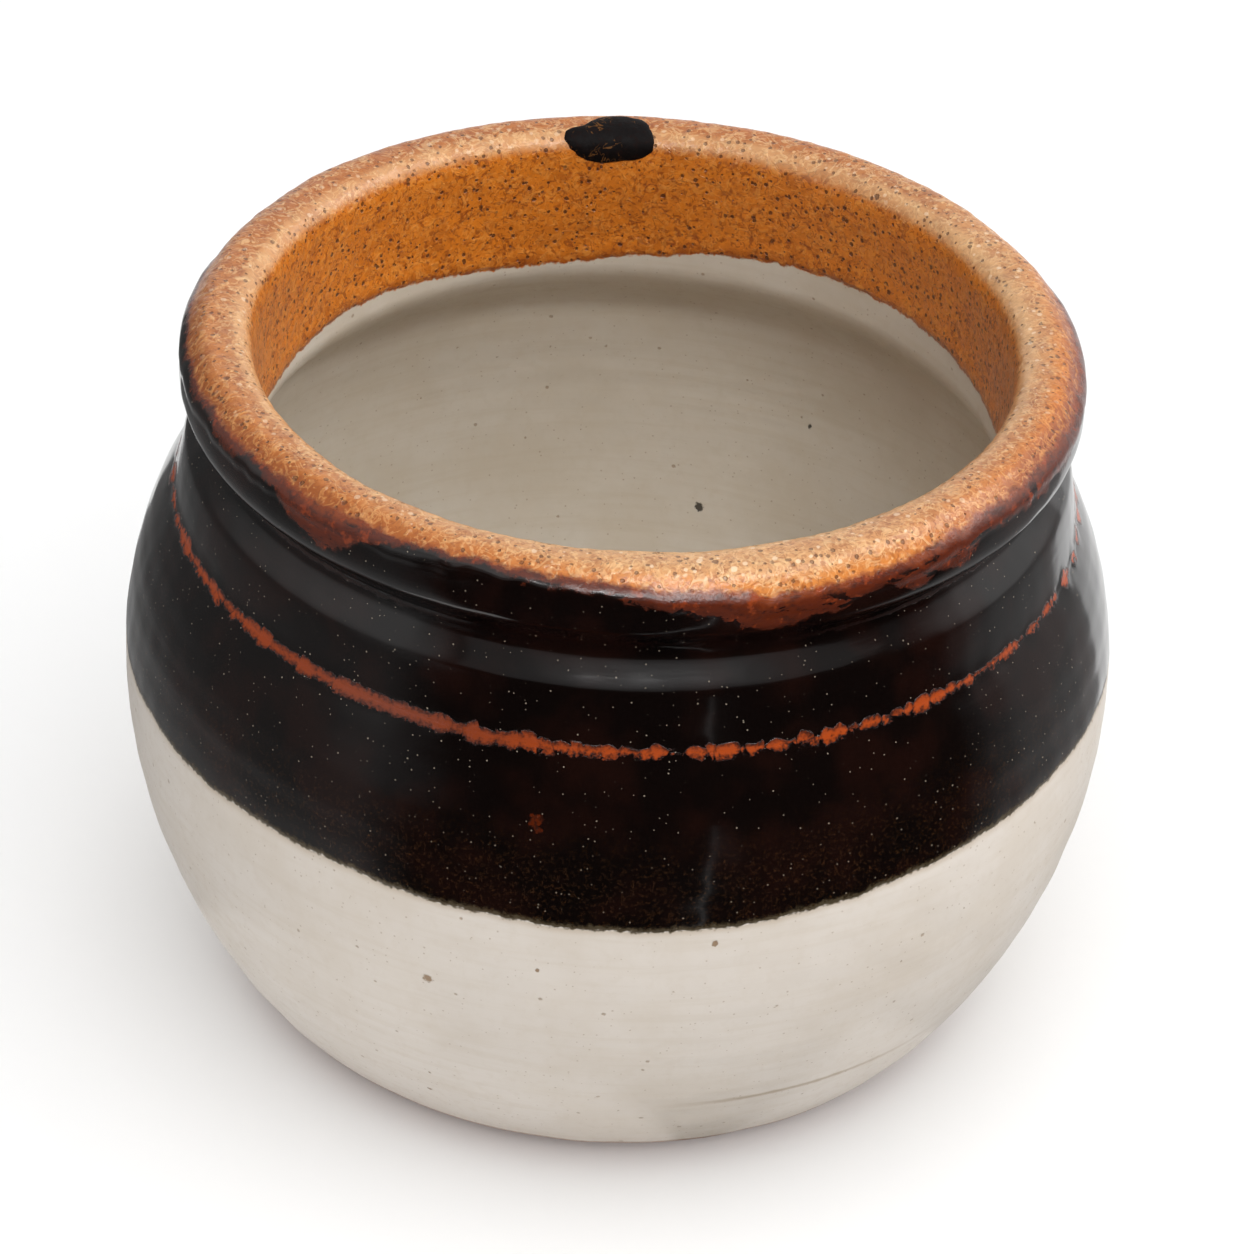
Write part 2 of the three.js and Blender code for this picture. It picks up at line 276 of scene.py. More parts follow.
# Cards round the pot: name, start and end angle from the front, the angle over which each of these two
# edges fades to black, then knots from the floor by the pot up the standing screen, each with its
# distance and height in metres and its brightness
CARD_CENTRE = (-0.010, -0.043)
CARD_LIFT = 0.002
CARD_STEPS = 24
BLACK = ((0.022, 0, 0), (0.40, 0, 0), (0.40, 0.33, 0))
LEFT_KNOTS = ((0.06, 0, 0.42), (0.13, 0, 0.34), (0.20, 0, 0.18), (0.40, 0, 0.15), (0.40, 0.13, 0.18),
              (0.40, 0.20, 0.45), (0.40, 0.33, 0.75), (0.40, 0.70, 0.60))
SLIP_KNOTS = ((0.12, 0, 1.0), (0.25, 0, 0.8), (0.395, 0, 0.5), (0.395, 0.06, 0.3))
SLIP_SCREEN_KNOTS = ((0.398, 0, 0), (0.40, 0, 0), (0.40, 0.33, 0))
UPPER_KNOTS = ((0.42, 0, 0.27), (0.43, 0, 0.27), (0.43, 0.60, 0.27))
RIGHT_KNOTS = ((0.06, 0, 0.44), (0.14, 0, 0.42), (0.20, 0, 0.34), (0.40, 0, 0.34), (0.40, 0.08, 0.40),
               (0.40, 0.13, 0.85), (0.40, 0.40, 1.0))
CARDS = (
    ("left_card", -150, -42.0, 0, 16, LEFT_KNOTS),
    ("front_card", -42.0, 24.6, 0, 0, BLACK),
    ("slip", 24.6, 26.0, 0, 0, SLIP_KNOTS),
    ("slip_screen", 24.6, 26.0, 0, 0, SLIP_SCREEN_KNOTS),
    ("front_right_card", 26.0, 82.0, 0, 0, BLACK),
    ("upper_card", -42.0, 82.0, 0, 0, UPPER_KNOTS),
    ("right_card", 82.0, 129, 20, 0, RIGHT_KNOTS),
)


def paint(red, green, blue):
    """Linear colour of a paint chip given as 0 to 255 screen values."""
    chip = np.array([red, green, blue]) / 255
    linear = np.where(chip <= 0.04045, chip / 12.92, ((chip + 0.055) / 1.055) ** 2.4)
    return tuple(float(value) for value in linear)


def length(label, note, millimetres):
    """Length property, in metres, with its default given in millimetres."""
    return bpy.props.FloatProperty(name=label, description=note, default=millimetres * MM,
                                   unit="LENGTH", precision=5)


def degrees(label, note, value):
    """Angle property with its default given in degrees."""
    return bpy.props.FloatProperty(name=label, description=note, default=math.radians(value),
                                   subtype="ANGLE")


def colour(label, note, red, green, blue):
    """Colour property with its default given as 0 to 255 screen values."""
    return bpy.props.FloatVectorProperty(name=label, description=note, size=3, subtype="COLOR",
                                         default=paint(red, green, blue), min=0, max=1)


def number(label, note, value):
    """Plain number property."""
    return bpy.props.FloatProperty(name=label, description=note, default=value)


class PotSizes(bpy.types.PropertyGroup):
    """Sizes of the pot's wall and coats"""

    foot_radius: length("Foot radius", "Outer radius of the bare foot ring", 46)
    foot_ring_width: length("Foot ring width", "Width of the ring that the pot stands on", 9)
    foot_recess: length("Foot recess", "Depth of the hollow inside the foot ring", 1.5)
    bare_height: length("Bare height", "Height of the bare clay above the floor", 0.8)
    bare_flare: length("Bare flare", "How far the bare clay flares out", 1.4)
    bevel_height: length("Bevel height", "Height of the turned bevel above the bare clay", 2.3)
    bevel_flare: length("Bevel flare", "How far the turned bevel flares out", 3)
    belly_radius: length("Belly radius", "Greatest radius of the pot", 65)
    belly_height: length("Belly height", "Height of the greatest radius", 47)
    ridge_inset: length("Ridge inset", "Shoulder ridge inside the belly radius", 6.7)
    ridge_rise: length("Ridge rise", "Shoulder ridge above the belly", 25.5)
    bend_inset: length("Bend inset", "Bend of the neck inside the belly radius", 8.1)
    bend_rise: length("Bend rise", "Bend of the neck above the ridge", 7.2)
    neck_inset: length("Neck inset", "Cove under the rim inside the belly radius", 10.7)
    neck_rise: length("Neck rise", "Middle of the cove above the ridge", 11.8)
    cove_height: length("Cove height", "Height of the cove under the rim", 2.6)
    rim_overhang: length("Rim overhang", "How far the rolled rim stands out over the cove", 3.3)
    rim_side_rise: length("Rim side rise", "Widest point of the rim above the cove", 5.9)
    crown_rise: length("Crown rise", "Top of the rim above its widest point", 6.3)
    crown_inset: length("Crown inset", "Top of the rim inside its widest point", 4.6)
    lip_thickness: length("Lip thickness", "Rim from its widest point to the neck inside", 9.6)
    lip_drop: length("Lip drop", "Inner edge of the rim below its top", 5.8)
    throat_depth: length("Throat depth", "End of the straight neck inside, below the rim's top", 20)
    inner_shoulder_inset: length("Inner shoulder inset", "Shoulder inside, from the belly radius", 8.4)
    inner_shoulder_rise: length("Inner shoulder rise", "Shoulder inside, above the belly", 16.8)
    belly_wall: length("Belly wall", "Thickness of the wall at the belly", 5.8)
    floor_thickness: length("Floor thickness", "Thickness of the pot's floor", 7.5)
    floor_flat: length("Flat floor", "Radius of the flat part of the floor inside", 26)
    glaze: length("Glaze", "Thickness of a coat of glaze", 0.6)
    waterline_rise: length("Waterline rise", "Edge of the dark coat above the belly", 4.6)
    break_drop: length("Break drop", "Edge of the amber coat outside, below the crown", 4.9)
    liner_rise: length("Liner rise", "Edge of the amber coat inside, above the throat", 1.6)
    margin: length("Margin", "How far the finished skin keeps inside the plain form", 0.2)
    out_of_round: length("Out of round", "How far the thrown wall strays from a circle", 0.07)
    throwing_rings: length("Throwing rings", "Height of the finger rings left by throwing", 0.02)
    ring_pitch: length("Ring pitch", "Climb of the finger rings in one turn", 4.6)
    orange_peel: length("Orange peel", "Height of the soft dimples in the glaze", 0.006)
    ridge_bead: length("Ridge bead", "Height of the rust bead along the shoulder ridge", 0.16)
    edge_roll: length("Edge roll", "Height of the thick roll at the dark coat's lower edge", 0.09)
    daub_angle: degrees("Daub angle", "Place of the black daub round the rim", 95.8)
    daub_inside: length("Daub inside", "Middle of the daub inside the crown", 3.6)
    daub_half_width: length("Daub half width", "Half of the daub across the rim", 4)
    daub_half_length: length("Daub half length", "Half of the daub along the rim", 6.4)
    daub_height: length("Daub height", "Thickness of the daub in its middle", 0.5)


class PotColours(bpy.types.PropertyGroup):
    """Colours of the clay and the coats"""

    clay: colour("Clay", "Bare fired clay of the foot", 150, 104, 74)
    stain: colour("Stain", "Brown stain at the trimmed line", 166, 144, 116)
    liner: colour("Liner", "Grey satin coat inside", 206, 198, 184)
    liner_shade: colour("Liner shade", "Warmer patches of the coat inside", 194, 182, 162)
    pale: colour("Pale coat", "Pale coat of the lower wall", 212, 203, 193)
    pale_shade: colour("Pale shade", "Warmer patches of the pale coat", 201, 189, 174)
    pale_speck: colour("Pale speck", "Brown iron specks of the pale coats", 140, 112, 82)
    seam: colour("Seam", "Olive edge where the iron coat thins out", 88, 74, 50)
    amber: colour("Amber", "Amber of the inner neck", 214, 122, 30)
    amber_top: colour("Amber top", "Tan on top of the rim", 184, 110, 50)
    amber_light: colour("Light amber", "Light strokes in the amber", 228, 150, 64)
    # Cream also paints the highlight on the inner edge of the rim and the light on the rim top
    cream: colour("Cream", "Cream strokes and thin edges of the amber", 246, 204, 150)
    fleck: colour("Fleck", "Palest flecks on top of the rim", 250, 226, 194)
    amber_deep: colour("Deep amber", "Burnt orange where the amber is thick", 126, 54, 12)
    pinhole: colour("Pinhole", "Dark pits in the amber", 58, 26, 9)
    rust: colour("Rust", "Rust where the amber breaks over the iron coat", 86, 30, 7)
    rust_bright: colour("Bright rust", "Orange spots in the rust", 160, 63, 13)
    # Dark rust also colours the painted shade in the crease of the cove
    rust_dark: colour("Dark rust", "Brown of the amber thinning over the iron coat", 52, 22, 13)
    iron: colour("Iron", "Near-black iron coat", 11, 6, 5)
    iron_warm: colour("Warm iron", "Brown patches of the iron coat", 29, 12, 8)
    iron_speck: colour("Iron speck", "Pale specks of the iron coat", 205, 190, 168)
    iron_fibre: colour("Iron fibre", "Golden fibres low in the iron coat", 116, 76, 38)
    dot: colour("Dot", "Dark dots of the grey liner", 34, 30, 24)
    daub: colour("Daub", "Black daub on the rim", 13, 9, 9)


class PotStudio(bpy.types.PropertyGroup):
    """Camera and light"""

    camera_back: length("Camera back", "Camera in front of the pot's axis", 487.04)
    camera_height: length("Camera height", "Camera above the floor", 395.41)
    pitch: degrees("Pitch", "How far the camera looks down", 35.393)
    yaw: degrees("Yaw", "How far the camera turns to the right", 0.127)
    roll: degrees("Roll", "How far the camera leans to its left", 3.274)
    lens: number("Lens", "Focal length in millimetres on a 36 mm sensor", 129.594)
    ambient: number("Ambient", "Light from all round on the object", 0.27)
    key: number("Key", "Watts of the softbox on the right", 14.5)
    top: number("Top", "Watts of the softbox above the camera", 4.6)
    fill: number("Fill", "Watts of the low softbox on the left", 1.6)
    floor_light: number("Floor light", "Watts of the wide softbox over the floor alone", 50)
    floor_lift: number("Floor lift", "Light added to the floor where the camera sees it", 0.05)


# Profile of the wall

def heading(angle):
    """Unit step at a heading of the profile."""
    turn = math.radians(angle)
    return np.array([math.cos(turn), math.sin(turn)])


def straight(start, end):
    """Points on the straight way between two points."""
    share = np.linspace(0, 1, CURVE_STEPS)[:, None]
    return start + (end - start) * share


def sweep(start, leaving, end, arriving, pulls):
    """Points on a cubic Bezier curve that leaves and reaches its ends at the headings given.

    Each inner control point lies on the heading of its end, as far from it as the pull says.
    """
    reach = np.linalg.norm(end - start)
    first = start + heading(leaving) * pulls[0] * reach
    second = end - heading(arriving) * pulls[1] * reach
    share = np.linspace(0, 1, CURVE_STEPS)[:, None]
    rest = 1 - share
    return rest**3 * start + 3 * rest**2 * share * first + 3 * rest * share**2 * second + share**3 * end


class Wall:
    """Profile of the glazed wall: its points, distances along it and the way that it faces."""

    def __init__(self, size):
        cove = size.belly_height + size.ridge_rise + size.neck_rise
        neck_radius = size.belly_radius - size.neck_inset
        rim_radius = neck_radius + size.rim_overhang
        crown_height = cove + size.rim_side_rise + size.crown_rise
        lip_radius = rim_radius - size.lip_thickness
        glaze_line = np.array([size.foot_radius + size.bare_flare, size.bare_height])
        bevel_top = glaze_line + [size.bevel_flare, size.bevel_height]
        belly = np.array([size.belly_radius, size.belly_height])
        ridge = np.array([size.belly_radius - size.ridge_inset, size.belly_height + size.ridge_rise])
        bend = ridge + [size.ridge_inset - size.bend_inset, size.bend_rise]
        cove_below = np.array([neck_radius, cove - size.cove_height / 2])
        cove_above = np.array([neck_radius, cove + size.cove_height / 2])
        rim_side = np.array([rim_radius, cove + size.rim_side_rise])
        crown = np.array([rim_radius - size.crown_inset, crown_height])
        lip = np.array([lip_radius, crown_height - size.lip_drop])
        throat = np.array([lip_radius, crown_height - size.throat_depth])
        inner_shoulder = belly + [-size.inner_shoulder_inset, size.inner_shoulder_rise]
        inner_belly = belly - [size.belly_wall, 0]
        floor_edge = np.array([size.floor_flat, size.floor_thickness])
        floor_middle = np.array([0, size.floor_thickness])
        curves = {
            "bevel_top": straight(glaze_line, bevel_top),
            "belly": sweep(bevel_top, BODY_HEADING, belly, UP, BODY_PULLS),
            "ridge": sweep(belly, UP, ridge, BELOW_RIDGE_HEADING, SHOULDER_PULLS),
            "bend": sweep(ridge, ABOVE_RIDGE_HEADING, bend, NECK_BEND_HEADING, NECK_PULLS),
            "cove_below": sweep(bend, NECK_BEND_HEADING, cove_below, INTO_COVE_HEADING, FLANK_PULLS),
            "cove_above": sweep(cove_below, INTO_COVE_HEADING, cove_above, OUT_OF_COVE_HEADING, COVE_PULLS),
            "rim_side": sweep(cove_above, OUT_OF_COVE_HEADING, rim_side, UP, UNDER_RIM_PULLS),
            "crown": sweep(rim_side, UP, crown, INWARD, RIM_PULLS),
            "lip": sweep(crown, INWARD, lip, DOWN, LIP_PULLS),
            "throat": straight(lip, throat),
            "inner_shoulder": sweep(
                throat, DOWN, inner_shoulder, INNER_SHOULDER_HEADING, UNDER_NECK_PULLS),
            "inner_belly": sweep(
                inner_shoulder, INNER_SHOULDER_HEADING, inner_belly, DOWN, INNER_SIDE_PULLS),
            "floor_edge": sweep(inner_belly, DOWN, floor_edge, INWARD, BOWL_PULLS),
            "floor_middle": straight(floor_edge, floor_middle),
        }
        points = np.concatenate([glaze_line[None]] + [curve[1:] for curve in curves.values()])
        steps = np.linalg.norm(np.diff(points, axis=0), axis=1)
        self.distance = np.concatenate([[0], np.cumsum(steps)])
        self.radius = points[:, 0]
        self.height = points[:, 1]
        along = np.gradient(points, self.distance, axis=0)
        along /= np.linalg.norm(along, axis=1)[:, None]
        self.face_out = along[:, 1]
        self.face_up = -along[:, 0]
        ends = (np.arange(len(curves)) + 1) * (CURVE_STEPS - 1)
        self.marks = dict(zip(curves, self.distance[ends]))
        self.marks["glaze_line"] = 0.0
        self.crown_radius = crown[0]

    def place(self, theta, along, lift):
        """Points at angles round the pot and distances along the wall, lifted off it."""
        out = np.interp(along, self.distance, self.face_out)
        up = np.interp(along, self.distance, self.face_up)
        radius = np.maximum(np.interp(along, self.distance, self.radius) + lift * out, 0)
        height = np.interp(along, self.distance, self.height) + lift * up
        return np.stack([radius * np.cos(theta), radius * np.sin(theta), height], axis=-1)


# Formulas over the wall

def eased(value, low, high):
    """Smooth step: 0 below low, 1 above high, and a cubic between them."""
    share = np.clip((value - low) / (high - low), 0, 1)
    return share * share * (3 - 2 * share)


def wander(terms, theta):
    """Sum of cosines round the pot, each with its wave count, size and crest in degrees."""
    return sum(size * np.cos(waves * (theta - math.radians(crest))) for waves, size, crest in terms)


def uneven(theta, size, seed, fewest, most, fall):
    """Sum of cosines round the pot with every wave count between two, at random starts.

    Sizes fall with the wave count to a power, scaled so that the sum strays by the size on average.
    """
    draw = np.random.default_rng(seed)
    waves = np.arange(fewest, most + 1)
    starts = draw.uniform(0, 2 * math.pi, waves.size)
    sizes = waves ** -float(fall)
    sizes /= math.sqrt((sizes ** 2).sum() / 2)
    return size * (np.cos(np.multiply.outer(theta, waves) + starts) @ sizes)


def dimples(theta, along, height, seed, count, most_waves, shortest):
    """Sum of plane waves on the unrolled wall, in random directions, that strays by a height on average.

    Each wave has a whole number of turns round the pot and a random length down the wall.
    """
    draw = np.random.default_rng(seed)
    total = np.zeros(np.broadcast(theta, along).shape)
    for turns in draw.integers(-most_waves, most_waves + 1, count):
        rate = 2 * math.pi * draw.uniform(-1, 1) / shortest
        total += np.cos(turns * theta + rate * along + draw.uniform(0, 2 * math.pi))
    return height * (total * math.sqrt(2 / count))


def thrown(size, wall, theta, along):
    """Lift of the thrown wall: out of round by low waves, finger rings on a rising spiral."""
    marks = wall.marks
    turn = 2 * math.pi * along / size.ring_pitch - theta
    outside = eased(along, marks["bevel_top"], marks["bevel_top"] + RINGS_FADE)
    outside = outside * (1 - eased(along, marks["ridge"] - RINGS_FADE, marks["ridge"]))
    inside = eased(along, marks["throat"], marks["inner_belly"])
    inside = inside * (1 - eased(along, marks["floor_edge"], marks["floor_middle"]))
    rings = size.throwing_rings * (outside + INNER_RINGS * inside) * np.cos(turn)
    return uneven(theta, size.out_of_round, *ROUND_WAVES) + rings


def line_offsets(size, wall, theta):
    """Edge lines of the coats as distances along the wall at each angle.

    Each is the plain line of the form, with its slow wander, and small scallops on top.
    """
    marks = wall.marks
    foot = FOOT_CRAWL_SIZE * MM * (1 + uneven(theta, *FOOT_CRAWL).clip(-1, 1))
    water = MM * (wander(WATERLINE_WANDER, theta) + uneven(theta, *WATER_SCALLOPS))
    rim_break = MM * (wander(BREAK_WANDER, theta) + uneven(theta, *BREAK_CRAWL))
    liner = MM * (wander(LINER_WANDER, theta) + uneven(theta, *LINER_DRIPS))
    return {
        "foot": marks["glaze_line"] + foot,
        "water": marks["belly"] + size.waterline_rise + water,
        "break": marks["crown"] - size.break_drop - rim_break,
        "liner": marks["throat"] - size.liner_rise - liner,
    }


def patches(theta, places):
    """Sum of raised cosines round the pot, each with its angle, half its spread and its height."""
    total = np.zeros(theta.shape)
    for angle, spread, height in places:
        apart = np.angle(np.exp(1j * (theta - math.radians(angle))))
        share = np.clip(apart / math.radians(spread), -1, 1)
        total += height * (0.5 + 0.5 * np.cos(math.pi * share))
    return total


def rust_reach(theta):
    """Reach of the rust below the amber, in millimetres: patches made uneven by fine waves."""
    reach = RUST_EVERYWHERE + patches(theta, RUST_PATCHES)
    return reach * (1 + uneven(theta, *RUST_WAVES)).clip(0.5, 1.6)


def rim_roll(past_amber):
    """Lift of the amber's thick edge, in millimetres, at distances below the amber.

    Three smooth steps: down into the dip, up to the roll's crest and back down below it.
    """
    dip = ROLL_DIP * eased(past_amber, ROLL_START, ROLL_FOOT)
    rise = ROLL_RISE * eased(past_amber, ROLL_FOOT, ROLL_CREST)
    fall = (ROLL_RISE - ROLL_DIP) * eased(past_amber, ROLL_CREST, ROLL_END)
    return rise - dip - fall


def bead_half(theta):
    """Half the width of the rust bead, in millimetres: a full band at the left, dashes at the right."""
    band = BEAD_HALF_WIDTH + uneven(theta, *BEAD_WAVES) + patches(theta, BEAD_SWELLS)
    dashes = patches(theta, BEAD_DASHES) * uneven(theta, *DASH_WAVES)
    return (band + dashes).clip(-0.3, 1.4)


# Meshes

def ruled(start, *stretches):
    """Rows of distances along the wall, from one line on to the next, each stretch in equal steps.

    A stretch is the line that it ends on and its step count; a line holds one distance for each column.
    """
    rows = [start[None]]
    for end, steps in stretches:
        share = np.arange(1, steps + 1)[:, None] / steps
        rows.append(start + (end - start) * share)
        start = end
    return np.concatenate(rows)


def woven(row_count, columns, closed, poles=()):
    """Faces between neighbouring rows of a grid that closes round its columns.

    Each cell is a quad, wound so that it faces away from the wall. A row that is a pole counts as
    its first point, so its cells are triangles. A closed grid also joins its last row to its first.
    """
    here = np.arange(columns)
    beside = np.roll(here, -1)
    faces = []
    for row in range(row_count if closed else row_count - 1):
        after = (row + 1) % row_count
        base, top = row * columns, after * columns
        if row in poles and after in poles:
            continue
        if row in poles:
            cells = np.stack([np.full(columns, base), top + beside, top + here], axis=1)
        elif after in poles:
            cells = np.stack([base + here, base + beside, np.full(columns, top)], axis=1)
        else:
            cells = np.stack([base + here, base + beside, top + beside, top + here], axis=1)
        faces.append(cells)
    return faces


def add_piece(name, rows, closed, values, material, node, poles=()):
    """Object from rows of points, with a value of each kind at every point, in place of a node."""
    row_count, columns, _ = rows.shape
    faces = woven(row_count, columns, closed, poles)
    used = np.unique(np.concatenate([cells.ravel() for cells in faces]))
    renumber = np.zeros(row_count * columns, dtype=int)
    renumber[used] = np.arange(used.size)
    points = rows.reshape(-1, 3)[used]
    mesh = bpy.data.meshes.new(name)
    mesh.from_pydata(points.tolist(), [], [cell for cells in faces for cell in renumber[cells].tolist()])
    for label, field in values.items():
        layer = mesh.attributes.new(label, "FLOAT", "POINT")
        layer.data.foreach_set("value", field.reshape(-1)[used].astype(np.float32))
    mesh.shade_smooth()
    mesh.set_sharp_from_angle(angle=SHARP_ANGLE)
    mesh.validate()
    mesh.materials.append(material)
    piece = bpy.data.objects.new(name, mesh)
    bpy.context.scene.collection.objects.link(piece)
    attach(piece, BODY)
    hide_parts(node)


class Coat:
    """What every coat shares: the wall, the angles of the columns and the edge lines."""

    def __init__(self, size):
        self.size = size
        self.wall = Wall(size)
        self.theta = np.arange(COLUMNS) * 2 * math.pi / COLUMNS
        self.lines = line_offsets(size, self.wall, self.theta)

    def mark(self, name, beyond=0.0):
        """Line at one distance all round: a mark of the wall, or a place beyond it."""
        return np.full(COLUMNS, self.wall.marks[name] + beyond)

    def values(self, along):
        """What the finishes read: millimetres from the lines and marks, and shares round the pot."""
        marks, lines = self.wall.marks, self.lines
        cove = (marks["cove_below"] + marks["cove_above"]) / 2
        fields = {
            "past_amber": (lines["break"] - along) / MM + patches(self.theta, AMBER_SHORT),
            "past_water": (along - lines["water"]) / MM,
            "past_liner": (lines["liner"] - along) / MM,
            "past_crown": (along - marks["crown"]) / MM,
            "past_bevel": (along - marks["bevel_top"]) / MM,
            "past_ridge": (along - marks["ridge"]) / MM,
            "past_cove": (along - cove) / MM,
        }
        fields["under_water"] = -fields["past_water"]
        fields["under_liner"] = -fields["past_liner"]
        fields["past_trim"] = fields["past_bevel"] - TRIM_RISE
        shares = {label: patches(self.theta, places) for label, places in ARCS.items()}
        shares["rust_reach"] = rust_reach(self.theta)
        shares["bead_half"] = bead_half(self.theta)
        for label, share in shares.items():
            fields[label] = np.broadcast_to(share, along.shape)
        return fields

    def skin(self, name, along, lift, material, node, pole=False):
        """Closed skin: its face lifted by a relief, its back on the clay, joined along its edges."""
        size = self.size
        base = thrown(size, self.wall, self.theta, along) - size.margin
        back_along = along[np.linspace(len(along) - 1, 0, BACK_ROWS).round().astype(int)]
        back_base = thrown(size, self.wall, self.theta, back_along) - size.margin
        face = self.wall.place(self.theta, along, base + lift)
        back = self.wall.place(self.theta, back_along, back_base - size.glaze)
        field = self.values(along)
        back_field = self.values(back_along)
        values = {label: np.concatenate([field[label], back_field[label]]) for label in field}
        poles = (len(along) - 1, len(along)) if pole else ()
        rows = np.concatenate([face, back])
        add_piece(name, rows, True, values, material, node, poles)


# Node trees

class Graph:
    """Node tree with short ways to add nodes: a socket given as a value is linked, the rest is set."""

    def __init__(self, tree):
        self.tree = tree

    def add(self, kind, inputs=None, **settings):
        """New node with its settings and inputs."""
        node = self.tree.nodes.new(kind)
        for name, value in settings.items():
            setattr(node, name, value)
        for key, value in (inputs or {}).items():
            self.feed(node.inputs[key], value)
        return node

    def feed(self, socket, value):
        """Link or value given to an input."""
        if isinstance(value, bpy.types.NodeSocket):
            self.tree.links.new(value, socket)
        elif socket.type == "RGBA" and len(value) == 3:
            socket.default_value = (*value, 1)
        else:
            socket.default_value = value

    def math(self, operation, first, second=0.0, third=0.0):
        """Result of a sum on two or three values."""
        node = self.add("ShaderNodeMath", {0: first, 1: second, 2: third}, operation=operation)
        return node.outputs[0]

    def times(self, first, second):
        """Product of two values."""
        return self.math("MULTIPLY", first, second)

    def weighed(self, value, weight, base):
        """Value times a weight, added to a base."""
        return self.math("MULTIPLY_ADD", value, weight, base)

    def either(self, first, second):
        """Larger of two masks."""
        return self.math("MAXIMUM", first, second)

    def ease(self, value, low, high, start=0.0, end=1.0):
        """Smooth step from start at low to end at high."""
        limits = {"From Min": low, "From Max": high, "To Min": start, "To Max": end}
        node = self.add("ShaderNodeMapRange", {"Value": value, **limits}, interpolation_type="SMOOTHSTEP")
        return node.outputs["Result"]

    def mix(self, share, first, second):
        """Colour between two colours."""
        node = self.add("ShaderNodeMix", {0: share, 6: first, 7: second}, data_type="RGBA")
        return node.outputs[2]

    def blend(self, share, first, second):
        """Value between two values."""
        node = self.add("ShaderNodeMix", {0: share, 2: first, 3: second}, data_type="FLOAT")
        return node.outputs[0]

    def place(self, stretch=(1, 1, 1), shift=(0, 0, 0)):
        """Object coordinates in millimetres, stretched and shifted."""
        coordinates = self.add("ShaderNodeTexCoord").outputs["Object"]
        scale = tuple(share / MM for share in stretch)
        node = self.add("ShaderNodeMapping", {"Vector": coordinates, "Scale": scale, "Location": shift})
        return node.outputs["Vector"]

    def noise(self, vector, rate, detail=2.0, roughness=0.5, distortion=0.0):
        """Noise between 0 and 1."""
        values = {"Vector": vector, "Scale": rate, "Detail": detail, "Roughness": roughness}
        node = self.add("ShaderNodeTexNoise", {**values, "Distortion": distortion})
        return node.outputs["Fac"]

    def stray(self, *settings):
        """Noise that strays both ways from 0."""
        return self.math("SUBTRACT", self.noise(*settings), 0.5)

    def shifted(self, shift):
        """Object coordinates in millimetres, moved by a vector."""
        return self.add("ShaderNodeVectorMath", {0: self.place(), 1: shift}).outputs[0]

    def layered(self, base, layers):
        """Colour with layers over it in turn, each a colour, its mask and, if it is thin, its share."""
        for over, mask, *share in layers:
            base = self.mix(self.times(mask, *share) if share else mask, base, over)
        return base

    def field(self, name):
        """Value that the mesh holds at each point."""
        return self.add("ShaderNodeAttribute", attribute_name=name).outputs["Fac"]

    def placed(self, name, values):
        """Outputs of a shared group placed in this tree with its own values."""
        node = self.add("ShaderNodeGroup", node_tree=bpy.data.node_groups[name])
        for label, value in values.items():
            self.feed(node.inputs[label], value)
        return node.outputs

    def mask(self, name, values):
        """Mask of a shared group placed in this tree with its own values."""
        return self.placed(name, values)["Mask"]


FLOAT = "NodeSocketFloat"
COLOUR = "NodeSocketColor"
VECTOR = "NodeSocketVector"


def group_tree(name, inputs, outputs):
    """New node group with named sockets: its graph, its inputs and the node that ends it."""
    tree = bpy.data.node_groups.new(name, "ShaderNodeTree")
    for label, value in inputs.items():
        kind = VECTOR if isinstance(value, tuple) else FLOAT
        socket = tree.interface.new_socket(label, in_out="INPUT", socket_type=kind)
        socket.default_value = value
    for label, kind in outputs.items():
        tree.interface.new_socket(label, in_out="OUTPUT", socket_type=kind)
    graph = Graph(tree)
    entry = graph.add("NodeGroupInput")
    return graph, entry.outputs, graph.add("NodeGroupOutput")


def specks(graph, given):
    """Round specks: cells of a Voronoi pattern, of which a share has a speck of random size."""
    shifted = graph.shifted(given["Shift"])
    cells = graph.add("ShaderNodeTexVoronoi",
                      {"Vector": shifted, "Scale": graph.math("DIVIDE", 1.0, given["Spacing"])})
    away = graph.times(cells.outputs["Distance"], given["Spacing"])
    draw = graph.add("ShaderNodeSeparateColor", {"Color": cells.outputs["Color"]}).outputs
    grain = graph.stray(shifted, graph.math("DIVIDE", 0.7, given["Size"]), 1.0)
    away = graph.weighed(grain, given["Size"], away)
    reach = graph.times(given["Size"], graph.weighed(draw["Green"], 0.7, 0.4))
    chosen = graph.math("LESS_THAN", draw["Red"], given["Share"])
    return graph.times(graph.ease(graph.math("DIVIDE", away, reach), 1.15, 0.7), chosen)


def curls(graph, given):
    """Curled fibres: thin contour lines of a twisted noise, kept only where a slow noise is high."""
    shifted = graph.shifted(given["Shift"])
    away = graph.math("ABSOLUTE", graph.stray(shifted, given["Rate"], 2.0, 0.55, 1.6))
    lines = graph.ease(graph.math("DIVIDE", away, given["Width"]), 1.0, 0.25)
    slow = graph.noise(shifted, graph.times(given["Rate"], 0.9), 1.0)
    limit = graph.math("SUBTRACT", 1.0, given["Cover"])
    return graph.times(lines, graph.ease(graph.math("SUBTRACT", slow, limit), -0.03, 0.05))


def strokes(graph, given):
    """Short curled strokes: the high parts of a twisted noise."""
    twisted = graph.noise(graph.shifted(given["Shift"]), given["Rate"], 1.5, 0.5, 2.0)
    above = graph.math("SUBTRACT", twisted, given["Limit"])
    return graph.ease(graph.math("DIVIDE", above, given["Soft"]), 0.0, 1.0)


